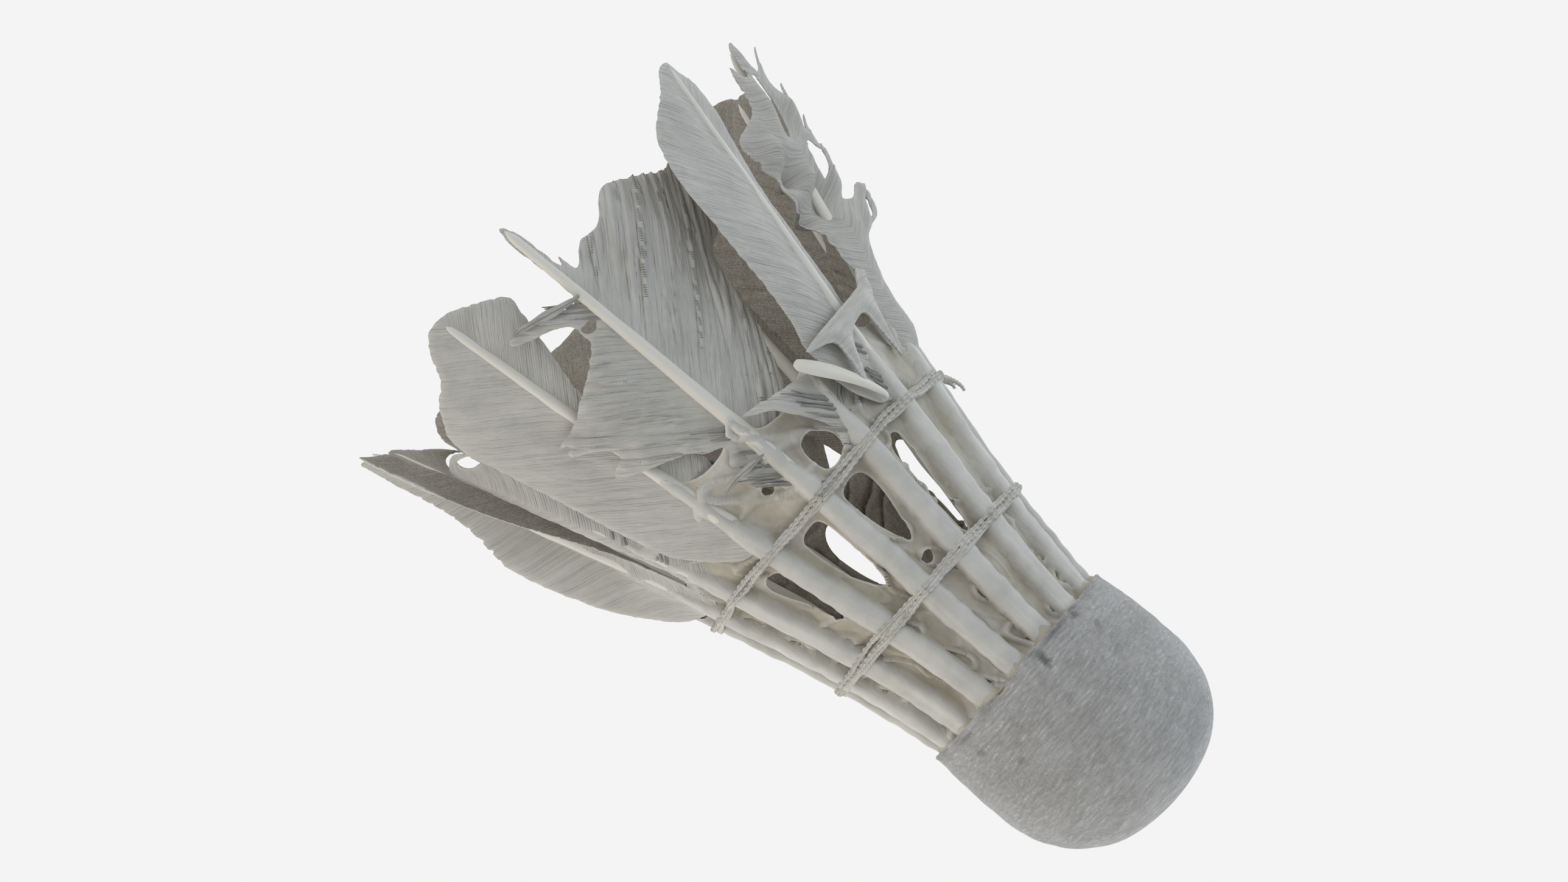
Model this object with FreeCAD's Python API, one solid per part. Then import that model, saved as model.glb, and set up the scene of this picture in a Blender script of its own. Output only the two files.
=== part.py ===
"""Feather shuttlecock, played until several feathers broke. Millimetres.

The shuttle stands on its feather tips: Z = 0 is the plane of the longest tips, and +Z runs up
the axis to the nose of the cork. "Drop" is the distance from the cork's flat face towards the
tips. Feather 1 faces -Y, and the others follow it round the ring towards -X.
"""
import FreeCAD
import Part

import math
import os

V = FreeCAD.Vector

# ---- driving dimensions ----
feather_count = 16
feather_length = 66.5          # from the cork's flat face down to the plane of the longest tips
base_radius = 12.9             # covered cork
tip_ring_radius = 29.9         # stem centres, at the tips
quill_inset = 2.4              # stem centres to the outside of the covered cork, at the flat face
root_ring_radius = base_radius - quill_inset
root_slope = 0.13              # how fast the ring of stems opens where it leaves the cork
bend_drop = 30.0               # the stems curve outwards down to here, then run straight

base_wall_length = 10.5        # straight part of the covered cork
shoulder_inset = 2.5           # how far the shoulder lies inside the straight wall
shoulder_radius = base_radius - shoulder_inset
nose_radius = 19.0
cover_thickness = 0.45
cork_disc_thickness = 5.0      # upper layer of the laminated cork

quill_depth = 10.0             # how far a stem is glued into the cork
quill_end_radius = 1.05
quill_radius = 1.32            # bare stem, at the cork
stem_taper = ((0.0, 1.0), (0.36, 0.95), (0.45, 0.75), (0.58, 0.55), (0.85, 0.40), (1.0, 0.30))
socket_clearance = 0.05

thread_radius = 0.36
lower_thread_drop = 12.3
upper_thread_drop = 26.3
wrap_clearance = 0.03
knot_length = 3.6
knot_gap = 4                   # the tied ends stand out after this feather

bead_height = 0.8
bead_width = 0.62              # at the flat face
bead_lip = 0.15                # where the bead thins out on the quill

film_thickness = 0.30
film_clearance = 0.08          # film edge to stem and thread
window_width_share = 0.62      # of the open gap between two stems

vane_thickness = 0.30
vane_clearance = 0.06          # vane root to stem
vane_twist = 15.0              # degrees; each vane's left side lies outside its neighbour

# ---- the state of each feather: edges are (drop, width) down its left and right vane ----
# drops in these tables are for threads at 12.3 and 26.3 and tips at 66.5; down() fits them to the rest
table_drops = (0.0, 12.3, 26.3, 66.5)
whole_left = ((29.5, 2.2), (33, 6.5), (38, 9.5), (48, 11.5), (57, 12.0), (62.5, 9.5), (65.6, 4.0))
whole_right = ((29.5, 2.0), (35, 4.2), (42, 6.0), (52, 7.0), (59, 6.8), (63.8, 4.8), (65.6, 2.4))
worn_left = ((30, 2.2), (35, 6.5), (42, 9.0), (50, 11.0), (56, 10.4), (60, 7.0), (62, 3.2))
worn_right = whole_right[:-2] + ((62, 3.0),)

# (length, sideways lean in degrees at the upper thread, further lean at the tip, left, right)
feathers = (
    (66.5, 0.0, -1.4,
     ((33, 3.4), (36, 2.6), (40, 6.7), (42.7, 11.4), (44, 9.5), (47.7, 13.3), (50, 8.2), (53.3, 2.5)),
     ((29, 2.4), (33, 4.6), (37, 8.0), (41, 10.0), (46, 12.6), (52, 16.5), (59.8, 17.0), (62, 10.5))),
    (36.0, 2.5, 0.0, ((29.5, 2.0), (32.5, 4.4), (34.5, 6.6), (35.8, 7.2)),
     ((29.5, 2.0), (32.5, 3.4), (35.0, 2.4))),
    (66.5, 4.2, -0.7,
     ((29.5, 3.4), (34, 6.8), (40.4, 7.2), (50.9, 8.4), (57, 8.9), (61.5, 8.1), (65.2, 4.4)),
     ((31, 2.2), (40, 4.4), (50, 5.4), (57, 6.4), (61.5, 4.6), (65.6, 2.2))),
    (64.5, 8.0, 2.0, ((37, 1.8), (44, 2.6), (50, 3.4), (56, 4.4), (59, 2.4)),
     ((37, 2.4), (41, 5.0), (45, 2.8), (50, 3.0), (55, 4.4), (61.5, 2.0))),
    (50.0, 3.0, 2.0, ((30, 2.4), (35, 5.4), (39, 4.6), (42, 2.2)),
     ((30, 2.2), (35, 5.0), (41, 6.0), (45, 4.0), (47, 2.0))),
    (62.8, 0.0, 1.5, worn_left, worn_right),
    (66.5, 0.0, 0.0, whole_left, whole_right),
    (66.5, 0.0, -1.0, whole_left, whole_right),
    (53.0, 0.0, 1.0, ((30, 2.2), (35, 6.8), (41, 9.8), (47, 10.6), (50, 7.6), (51.5, 3.2)),
     whole_right[:4]),
    (66.5, 0.0, 0.5, whole_left, whole_right),
    (66.5, 0.0, 0.0, whole_left, whole_right),
    (66.5, 0.0, -1.0, whole_left, whole_right),
    (62.8, 0.0, -1.0, worn_left, worn_right),
    (64.6, -1.2, 1.0, ((30, 2.4), (36, 4.4), (44, 5.0), (54, 4.6), (60, 4.2), (64, 3.0)),
     ((31, 2.4), (38, 3.4), (48, 4.0), (58, 4.2), (64, 3.4))),
    (54.5, -6.5, -7.0, ((30, 2.2), (36, 3.2), (44, 3.6), (50, 3.4), (53, 2.6)),
     ((29.5, 3.0), (36, 6.2), (43, 8.6), (49, 9.6), (52, 6.0), (53.5, 2.4))),
    (66.0, -4.5, 4.0,
     ((28.8, 5.4), (35, 7.4), (43, 9.4), (50, 11.0), (55.5, 12.2), (58, 10.4), (60.6, 7.5), (65, 2.4)),
     ((30, 2.4), (38, 4.4), (46, 3.6), (51, 2.9), (56, 4.0), (60.3, 5.7), (62, 6.0), (64, 3.3))),
)

# window in the glue film between the threads, one per gap after each feather: (length, centre drop)
closed = (0.0, 0.0)
windows = ((8.2, 21.0), (11.4, 19.4), closed, closed, closed, closed, (10.8, 19.4), closed,
           (8.4, 20.6), closed, closed, (6.4, 21.2), closed, closed, (8.2, 21.0), (8.8, 20.5))

# broken bits that still cling to the skirt: (turn in feathers, drop, stand-off) at root and tip
splinters = (
    ("quill_splinter", (2.12, 31.6, 2.3), (1.10, 38.0, 2.8), 0.62),
    ("barb_splinter", (-0.10, 33.3, 2.3), (-0.75, 33.6, 2.9), 0.40),
    ("finger_splinter", (-0.17, 56.9, 0.9), (-0.72, 59.2, 1.5), 0.50),
)
splinter_tip_share = 0.35      # tip radius of a splinter, of its root radius

# ---- worked out from the above ----
feather_step = 2 * math.pi / feather_count
face_height = feather_length
straight_run = feather_length - bend_drop
stem_bow = ((tip_ring_radius - root_ring_radius - root_slope * feather_length)
            / (bend_drop * bend_drop + 2 * bend_drop * straight_run))
twist_sine = math.sin(math.radians(vane_twist))
twist_cosine = math.cos(math.radians(vane_twist))


def down(table_drop):
    """Drop in use for a drop in the tables: stretched evenly between face, threads and tips."""
    drops = (0.0, lower_thread_drop, upper_thread_drop, feather_length)
    spans = list(zip(table_drops, table_drops[1:], drops, drops[1:]))
    for before, after, low, high in spans:
        if table_drop <= after:
            break
    return low + (table_drop - before) * (high - low) / (after - before)


def ring_radius(drop):
    """Radius of the ring of stem centres: opens with a curve, then runs straight to the tips."""
    bent = min(max(drop, 0.0), bend_drop)
    return root_ring_radius + root_slope * drop + stem_bow * bent * (2 * max(drop, 0.0) - bent)


def stem_radius(drop):
    """Radius of a stem at a drop: tapers into the cork, and towards the tip as in stem_taper."""
    if drop <= 0:
        return quill_radius + (quill_end_radius - quill_radius) * (-drop / quill_depth)
    share = min(drop / feather_length, 1.0)
    for (start, before), (end, after) in zip(stem_taper, stem_taper[1:]):
        if share <= end:
            return quill_radius * (before + (after - before) * (share - start) / (end - start))
    return quill_radius * stem_taper[-1][1]


def place(radius, turn, drop):
    """Point at a radius from the axis, a turn in radians from feather 1, and a drop."""
    return V(-radius * math.sin(turn), -radius * math.cos(turn), face_height - drop)


def feather_turn(index, drop):
    """Turn of a feather at a drop: even spacing at the cork, then its own sideways lean."""
    waist_lean, tip_lean = feathers[index % feather_count][1:3]
    near = min(max(drop / upper_thread_drop, 0.0), 1.0)
    far = max(drop - upper_thread_drop, 0.0) / (feather_length - upper_thread_drop)
    lean = waist_lean * near * near * (3 - 2 * near) + tip_lean * far
    return index * feather_step + math.radians(lean)


def stem_centre(index, drop):
    return place(ring_radius(drop), feather_turn(index, drop), drop)


def stem_direction(index, drop):
    """Unit vector down a stem, from points a little above and below."""
    away = stem_centre(index, drop + 0.05) - stem_centre(index, drop - 0.05)
    return away.normalize()


def round_loft(index, drops, extra):
    """Solid of straight tapers between sections square to a stem's line, extra mm over its radius."""
    sections = []
    for drop in drops:
        circle = Part.makeCircle(stem_radius(drop) + extra, stem_centre(index, drop),
                                 stem_direction(index, drop))
        sections.append(Part.Wire([circle]))
    return Part.makeLoft(sections, True, True)


def stem(index, length):
    stations = (0.0, 4.0, 8.0, 12.0, 16.0, 20.0, 24.0, 27.0, 30.0, 38.0, 48.0, 57.0)
    inner = [down(drop) for drop in stations if drop < length - 2.0]
    return round_loft(index, [-quill_depth] + inner + [down(length)], 0.0)


def vane_point(index, drop, across, lift):
    """Point of a vane, across mm to the right of its stem. It winds inwards to the right."""
    ring = ring_radius(drop)
    turn = feather_turn(index, drop) + across * twist_cosine / ring
    return place(ring - across * twist_sine + lift, turn, drop)


def vane_side(index, edge, side):
    """One web of a feather, side -1 left or 1 right, lofted down its length."""
    sections = []
    for table_drop, width in edge:
        drop = down(table_drop)
        root = stem_radius(drop) + vane_clearance
        reach = [side * (root + (max(width, root + 0.4) - root) * share) for share in (0.0, 0.5, 1.0)]
        a, b, c = [vane_point(index, drop, across, vane_thickness / 2) for across in reach]
        d, e, f = [vane_point(index, drop, across, -vane_thickness / 2) for across in reach]
        sections.append(Part.Wire([
            Part.Arc(a, b, c).toShape(), Part.LineSegment(c, f).toShape(),
            Part.Arc(f, e, d).toShape(), Part.LineSegment(d, a).toShape()]))
    return Part.makeLoft(sections, True, True)


def vane(index, left, right):
    return Part.makeCompound([vane_side(index, left, -1), vane_side(index, right, 1)])


def filled_base(inset):
    """Solid of revolution of the base, inset mm inside its outline, from flat face to nose."""
    wall = base_radius - inset
    shoulder = shoulder_radius - inset
    nose = nose_radius - inset
    shoulder_centre = base_radius - shoulder_radius
    wall_end = face_height + base_wall_length
    reach = nose_radius - shoulder_radius
    nose_centre = wall_end - math.sqrt(reach * reach - shoulder_centre * shoulder_centre)
    join_angle = math.asin(shoulder_centre / reach)
    half_shoulder = (math.pi / 2 - join_angle) / 2
    foot = V(0, 0, face_height)
    rim = V(wall, 0, face_height)
    wall_top = V(wall, 0, wall_end)
    shoulder_middle = V(shoulder_centre + shoulder * math.cos(half_shoulder), 0,
                        wall_end + shoulder * math.sin(half_shoulder))
    join = V(nose * math.sin(join_angle), 0, nose_centre + nose * math.cos(join_angle))
    nose_middle = V(nose * math.sin(join_angle / 2), 0, nose_centre + nose * math.cos(join_angle / 2))
    pole = V(0, 0, nose_centre + nose)
    outline = [
        Part.LineSegment(foot, rim).toShape(), Part.LineSegment(rim, wall_top).toShape(),
        Part.Arc(wall_top, shoulder_middle, join).toShape(),
        Part.Arc(join, nose_middle, pole).toShape(), Part.LineSegment(pole, foot).toShape()]
    return Part.Face(Part.Wire(outline)).revolve(V(0, 0, 0), V(0, 0, 1), 360)


def leather_cover():
    """Skin glued round the cork, open at the flat face."""
    return filled_base(0.0).cut(filled_base(cover_thickness))


def cork_layers():
    """The laminated cork with a socket for each quill: a disc at the flat face, and the nose."""
    socket_drops = (-quill_depth - socket_clearance, 0.0, 0.5)
    sockets = [round_loft(i, socket_drops, socket_clearance) for i in range(feather_count)]
    drilled = filled_base(cover_thickness).cut(sockets)
    slab = Part.makeCylinder(base_radius, cork_disc_thickness, V(0, 0, face_height))
    return drilled.common(slab), drilled.cut(slab)


def glue_beads():
    """A fillet of glue round each quill on the cork's flat face, inside the leather rim."""
    room = Part.makeCylinder(base_radius - cover_thickness, bead_height,
                             V(0, 0, face_height - bead_height))
    beads = []
    for i in range(feather_count):
        start = stem_centre(i, 2 * bead_height)
        back = stem_centre(i, 0.0) - start
        cone = Part.makeCone(quill_radius + bead_lip, quill_radius + bead_width,
                             back.Length * 1.5, start, back)
        bore = round_loft(i, (-3 * bead_height, 0.0, 3 * bead_height), wrap_clearance)
        beads.append(cone.common(room).cut(bore))
    return Part.makeCompound(beads)


def thread(drop):
    """Pieces of one binding thread: a turn round each stem and a straight run to the next."""
    wrap = stem_radius(drop) + wrap_clearance + thread_radius
    pieces = []
    for i in range(feather_count):
        centre = stem_centre(i, drop)
        pieces.append(Part.makeTorus(wrap, thread_radius, centre, stem_direction(i, drop)))
        onward = stem_centre(i + 1, drop) - centre
        run = onward.Length - 2 * wrap
        onward.normalize()
        pieces.append(Part.makeCylinder(thread_radius, run, centre + onward * wrap, onward))
    return pieces


def thread_ends(drop, gap):
    """The tied ends of a thread, standing up and out of the middle of a run."""
    root = (stem_centre(gap, drop) + stem_centre(gap + 1, drop)) * 0.5
    outward = V(root.x, root.y, 0).normalize()
    return Part.makeCone(thread_radius, thread_radius * 1.2, knot_length, root, outward * 0.5 + V(0, 0, 1))


def film_frame(index, drop):
    """Middle, sideways and outward directions and half gap between two stems at a drop."""
    one = stem_centre(index, drop)
    two = stem_centre(index + 1, drop)
    along = (two - one).normalize()
    outward = V(along.y, -along.x, 0)
    if outward.dot(one) < 0:
        outward = outward * -1
    half_gap = one.distanceToPoint(two) / 2 - stem_radius(drop)
    return (one + two) * 0.5, along, outward, half_gap


def film_panel(index, low, high):
    """Thin wall of dried glue between a stem and the next, from one drop to another."""
    sections = []
    spans = 4
    for n in range(spans + 1):
        middle, along, outward, half_gap = film_frame(index, low + (high - low) * n / spans)
        side = along * (half_gap - film_clearance)
        out = outward * (film_thickness / 2)
        corners = [middle - side + out, middle + side + out, middle + side - out, middle - side - out]
        sections.append(Part.makePolygon(corners + corners[:1]))
    return Part.makeLoft(sections, True, True)


def window_cutter(index, length, centre_drop):
    """Radial prism with a window's oval outline, narrower than the gap it opens."""
    upper_end = down(centre_drop - length / 2)
    lower_end = down(centre_drop + length / 2)
    middle, along, outward, half_gap = film_frame(index, (upper_end + lower_end) / 2)
    reach = 3.0
    start = middle - outward * reach
    oval = Part.Ellipse(start + V(0, 0, (lower_end - upper_end) / 2), start + along * (half_gap * window_width_share), start)
    return Part.Face(Part.Wire([oval.toShape()])).extrude(outward * (2 * reach))


def lower_film():
    top = bead_height + film_clearance
    bottom = lower_thread_drop - thread_radius - film_clearance
    return Part.makeCompound([film_panel(i, top, bottom) for i in range(feather_count)])


def upper_film():
    top = lower_thread_drop + thread_radius + film_clearance
    bottom = upper_thread_drop - thread_radius - film_clearance
    panels = []
    for i, (length, centre) in enumerate(windows):
        panel = film_panel(i, top, bottom)
        if length:
            panel = panel.cut(window_cutter(i, length, centre))
        panels.append(panel)
    return Part.makeCompound(panels)


def splinter(root, tip, radius):
    """A tapered shard standing off the skirt from its root to its tip."""
    ends = []
    for turn, table_drop, stand_off in (root, tip):
        drop = down(table_drop)
        ends.append(place(ring_radius(drop) + stand_off, turn * feather_step, drop))
    along = ends[1] - ends[0]
    return Part.makeCone(radius, radius * splinter_tip_share, along.Length, ends[0], along)


def build():
    parts = {"leather_cover": leather_cover()}
    parts["cork_disc"], parts["cork_nose"] = cork_layers()
    for i, (length, _, _, left, right) in enumerate(feathers):
        parts[f"stem_{i + 1:02d}"] = stem(i, length)
        parts[f"vane_{i + 1:02d}"] = vane(i, left, right)
    lower = thread(lower_thread_drop)
    parts["lower_thread"] = lower[0].multiFuse(lower[1:])
    upper = thread(upper_thread_drop) + [thread_ends(upper_thread_drop, knot_gap)]
    parts["upper_thread"] = upper[0].multiFuse(upper[1:])
    parts["stem_glue_beads"] = glue_beads()
    parts["lower_glue_film"] = lower_film()
    parts["upper_glue_film"] = upper_film()
    for name, root, tip, radius in splinters:
        parts[name] = splinter(root, tip, radius)
    return parts


os.makedirs("parts", exist_ok=True)
for name, shape in build().items():
    shape.exportStep(f"parts/{name}.step")
    volumes = [round(solid.Volume, 2) for solid in shape.Solids]
    print(name, "valid" if shape.isValid() else "INVALID", len(volumes), volumes[:4])
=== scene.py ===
import math

import bpy
import numpy as np
from bpy.props import FloatProperty, FloatVectorProperty, IntProperty, PointerProperty
from mathutils import Matrix, Vector


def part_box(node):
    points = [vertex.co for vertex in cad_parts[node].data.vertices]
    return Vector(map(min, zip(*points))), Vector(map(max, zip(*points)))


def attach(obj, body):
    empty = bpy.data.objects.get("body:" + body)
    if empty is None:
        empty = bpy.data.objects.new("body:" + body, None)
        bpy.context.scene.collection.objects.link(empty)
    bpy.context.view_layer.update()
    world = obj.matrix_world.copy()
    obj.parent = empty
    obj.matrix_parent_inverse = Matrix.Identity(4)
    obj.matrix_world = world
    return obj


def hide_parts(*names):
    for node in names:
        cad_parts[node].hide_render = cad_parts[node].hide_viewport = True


bl_info = {
    "name": "Worn Feather Shuttlecock",
    "version": (1, 0, 0),
    "blender": (4, 5, 0),
    "location": "View3D > Sidebar > Shuttlecock",
    "description": "Feathers, glue, threads and leather of a worn shuttlecock, built round its CAD frame",
    "category": "Add Mesh",
}

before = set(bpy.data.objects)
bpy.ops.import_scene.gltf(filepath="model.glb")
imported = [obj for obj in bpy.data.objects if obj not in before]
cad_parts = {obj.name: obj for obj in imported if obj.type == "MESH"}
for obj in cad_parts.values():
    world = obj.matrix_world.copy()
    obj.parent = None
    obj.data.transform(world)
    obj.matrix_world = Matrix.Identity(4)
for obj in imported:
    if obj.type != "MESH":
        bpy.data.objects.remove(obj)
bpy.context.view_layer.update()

MM = 0.001
BODY = "root"
FACE_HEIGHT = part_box("cork_disc")[0][2]          # the cork's flat face
NOSE_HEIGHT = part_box("leather_cover")[1][2]
BASE_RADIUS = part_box("leather_cover")[1][0]
LOWER_DROP = FACE_HEIGHT - (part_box("lower_thread")[0][2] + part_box("lower_thread")[1][2]) / 2
FEATHER_COUNT = sum(1 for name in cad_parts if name.startswith("stem_") and name[5:].isdigit())
STEP = 2 * math.pi / FEATHER_COUNT

# share of a feather's length, then the stem's width there as a share of its width at the cork
STEM_TAPER = ((0.0, 1.0), (0.36, 0.95), (0.45, 0.75), (0.58, 0.55), (0.85, 0.40), (1.0, 0.30))


# ---- settings ----
def length(name, words, default):
    return FloatProperty(name=name, description=words, default=default, unit="LENGTH", precision=5)


def colour(name, words, default):
    return FloatVectorProperty(name=name, description=words, default=default, subtype="COLOR",
                               size=3, min=0.0, max=1.0)


class SkirtSettings(bpy.types.PropertyGroup):
    feather_length: length("Feather length", "Cork face to the plane of the longest tips", FACE_HEIGHT)
    tip_ring: length("Tip ring", "Radius of the ring of stems at the tips", 0.0299)
    root_ring: length("Root ring", "Radius of the ring of stems at the cork face", 0.0105)
    root_slope: FloatProperty(name="Root slope", description="How fast the ring opens at the cork",
                              default=0.13)
    bend_drop: length("Bend", "Drop down to which the stems curve outwards", 0.030)
    upper_drop: length("Upper thread", "Drop of the upper thread below the cork face", 0.0263)
    quill_radius: length("Quill radius", "Radius of a stem at the cork", 0.00132)
    quill_depth: length("Quill depth", "How far a stem reaches into the cork", 0.010)
    twist: FloatProperty(name="Vane twist", description="Turn of each vane about its stem",
                         default=math.radians(15), subtype="ANGLE")
    barb_slant: FloatProperty(name="Barb slant", description="Run of a barb towards the tip per unit across",
                              default=0.95)
    vane_thickness: length("Vane thickness", "Thickness of matted barbs", 0.00038)
    near_grid: length("Fine grid", "Mesh spacing on the front feathers", 0.00018)
    far_grid: length("Coarse grid", "Mesh spacing on the back feathers", 0.00034)


class BaseSettings(bpy.types.PropertyGroup):
    wall: length("Wall", "Straight part of the covered cork", 0.0105)
    shoulder: length("Shoulder radius", "Rounding between the wall and the nose", 0.0104)
    nose: length("Nose radius", "Radius of the nose", 0.019)
    bulge: length("Bulge", "How far the leather swells at mid height", 0.00028)
    cover: length("Leather thickness", "Thickness of the skin", 0.00045)
    draw_in: length("Drawn-in rim", "How far the rim is pulled inwards", 0.00032)
    skew: FloatProperty(name="Skew", description="Sideways lean of the nose towards -X", default=0.030)
    columns: IntProperty(name="Columns", description="Mesh columns round the leather", default=300)


class BindingSettings(bpy.types.PropertyGroup):
    strand: length("Strand radius", "Radius of one thread strand", 0.00027)
    spread: length("Spread", "Height between the two strands of a binding", 0.00066)
    wobble: length("Wobble", "How far a strand strays up and down", 0.00020)
    dip: length("Dip", "How far a thread sinks between two stems", 0.00035)
    ply_pitch: length("Ply pitch", "Length of one twist of the thread", 0.0016)
    film: length("Film thickness", "Thickness of the dried glue", 0.00032)
    web_level: length("Web level", "Height of the glue film over the ring of stems", -0.0001)
    coat: length("Coat", "Thickness of the glue on a stem", 0.00006)
    coat_end: length("Coat end", "Drop where the glue on the stems begins to thin out", 0.0275)
    fillet: length("Fillet", "How softly the film climbs the stems", 0.0003)


class FinishSettings(bpy.types.PropertyGroup):
    leather: colour("Leather", "Worn white leather", (0.60, 0.60, 0.59))
    # the dark leather colour serves the drifting dirt and stains, and, darkened further, the painted shade
    # round the rim
    leather_dirt_and_shade: colour("Leather dirt and rim shade", "Soiled leather, also the base of the painted rim shade", (0.36, 0.35, 0.33))
    vane: colour("Vane", "Matted barbs, outside", (0.53, 0.52, 0.485))
    vane_dark: colour("Vane shade", "Soiled barbs", (0.37, 0.36, 0.33))
    # the inside colour is a darker, browner copy of the vane: partly the barbs' browner inner tone, partly
    # painted shade inside the skirt
    inside: colour("Inside", "Inner face of the barbs", (0.37, 0.34, 0.285))
    stem: colour("Stem", "Dull keratin", (0.32, 0.315, 0.285))
    thread: colour("Thread", "Glue-soaked thread", (0.57, 0.555, 0.515))
    glue: colour("Glue", "Dried glue film", (0.45, 0.415, 0.335))
    cork: colour("Cork", "Bare cork", (0.22, 0.15, 0.085))


class StageSettings(bpy.types.PropertyGroup):
    distance: length("Camera distance", "From the camera to the point it looks at", 0.388)
    lens: FloatProperty(name="Lens", description="Focal length in millimetres", default=85.0)
    aim_drop: length("Aim drop", "Drop of the point the camera looks at", 0.0339)
    aim_side: length("Aim side", "That point's distance from the axis, towards -X", 0.0018)
    elevation: FloatProperty(name="Elevation", description="Height angle of the camera",
                             default=math.radians(3.9), subtype="ANGLE")
    lean: FloatProperty(name="Lean", description="Angle on screen from up to the skirt",
                        default=math.atan2(0.7536, 0.6574), subtype="ANGLE")
    warm_power: FloatProperty(name="Warm light", description="Power of the warm light", default=2.5,
                              unit="POWER")
    cool_power: FloatProperty(name="Cool light", description="Power of the cool light", default=1.3,
                              unit="POWER")
    sky: FloatProperty(name="Front sky", description="Strength of the light from the front", default=0.50)
    back_sky: FloatProperty(name="Back sky", description="Strength of the light from behind", default=1.80)
    paper: FloatProperty(name="Backdrop", description="Brightness of floor and backdrop", default=0.905)


# ---- the state of each feather ----
# reach: drop of its end in mm. waist: lean in degrees at the upper thread. tip: further lean at the tip.
# outline, holes: (across, drop) in mm round both vanes, across to the right seen with the skirt up.
# dents: (across, drop, half width, half height, depth) in mm, pushed outwards if depth is positive.
# clump, pitch: height and spacing of barb clumps in mm. cords: height of finer matted cords in mm.
# curl: height in mm of the left and right vane, 10 mm from the stem. lift: height of both in mm.
# sink: depth under the ring of stems in mm. fray: depth of the torn edge in mm. stubs: share of full
# barb stubs on the stem. twist: its own twist in degrees, if it has one. fine: on the fine grid.
PLAIN = {"holes": (), "dents": (), "clump": 0.10, "pitch": 1.7, "cords": 0.10, "curl": (0.0, 0.0),
         "lift": 0.0, "sink": 0.12, "fray": 0.06, "stubs": 0.0, "twist": None, "fine": True}


def feather(reach, waist, tip, outline, **state):
    return {**PLAIN, "reach": reach, "waist": waist, "tip": tip, "outline": outline, **state}


def whole(reach, left=11.5, right=7.0, top=1.0, notch=None):
    """Outline of a feather with both vanes: widens from the thread and rounds off at its reach."""
    points = [(-1.6, 28.0), (-0.30 * left, 30.5), (-0.62 * left, 35), (-0.86 * left, 42),
              (-left, 51), (-left * 0.97, 57), (-left * 0.74, reach - 3.2 * top),
              (-left * 0.30, reach - 0.6), (0.0, reach), (right * 0.45, reach - 1.2 * top),
              (right * 0.86, reach - 4.0 * top), (right, 55), (right * 0.92, 46), (right * 0.7, 38),
              (right * 0.35, 31), (1.5, 28.0)]
    if notch:
        side, drop, deep = notch
        at = min(range(len(points)), key=lambda k: abs(points[k][1] - drop) + (points[k][0] * side < 0) * 99)
        edge = points[at][0]
        points[at:at + 1] = [(edge, drop - 0.9), (edge - side * deep, drop + 0.4), (edge, drop + 0.9)]
    return tuple(points)


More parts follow.
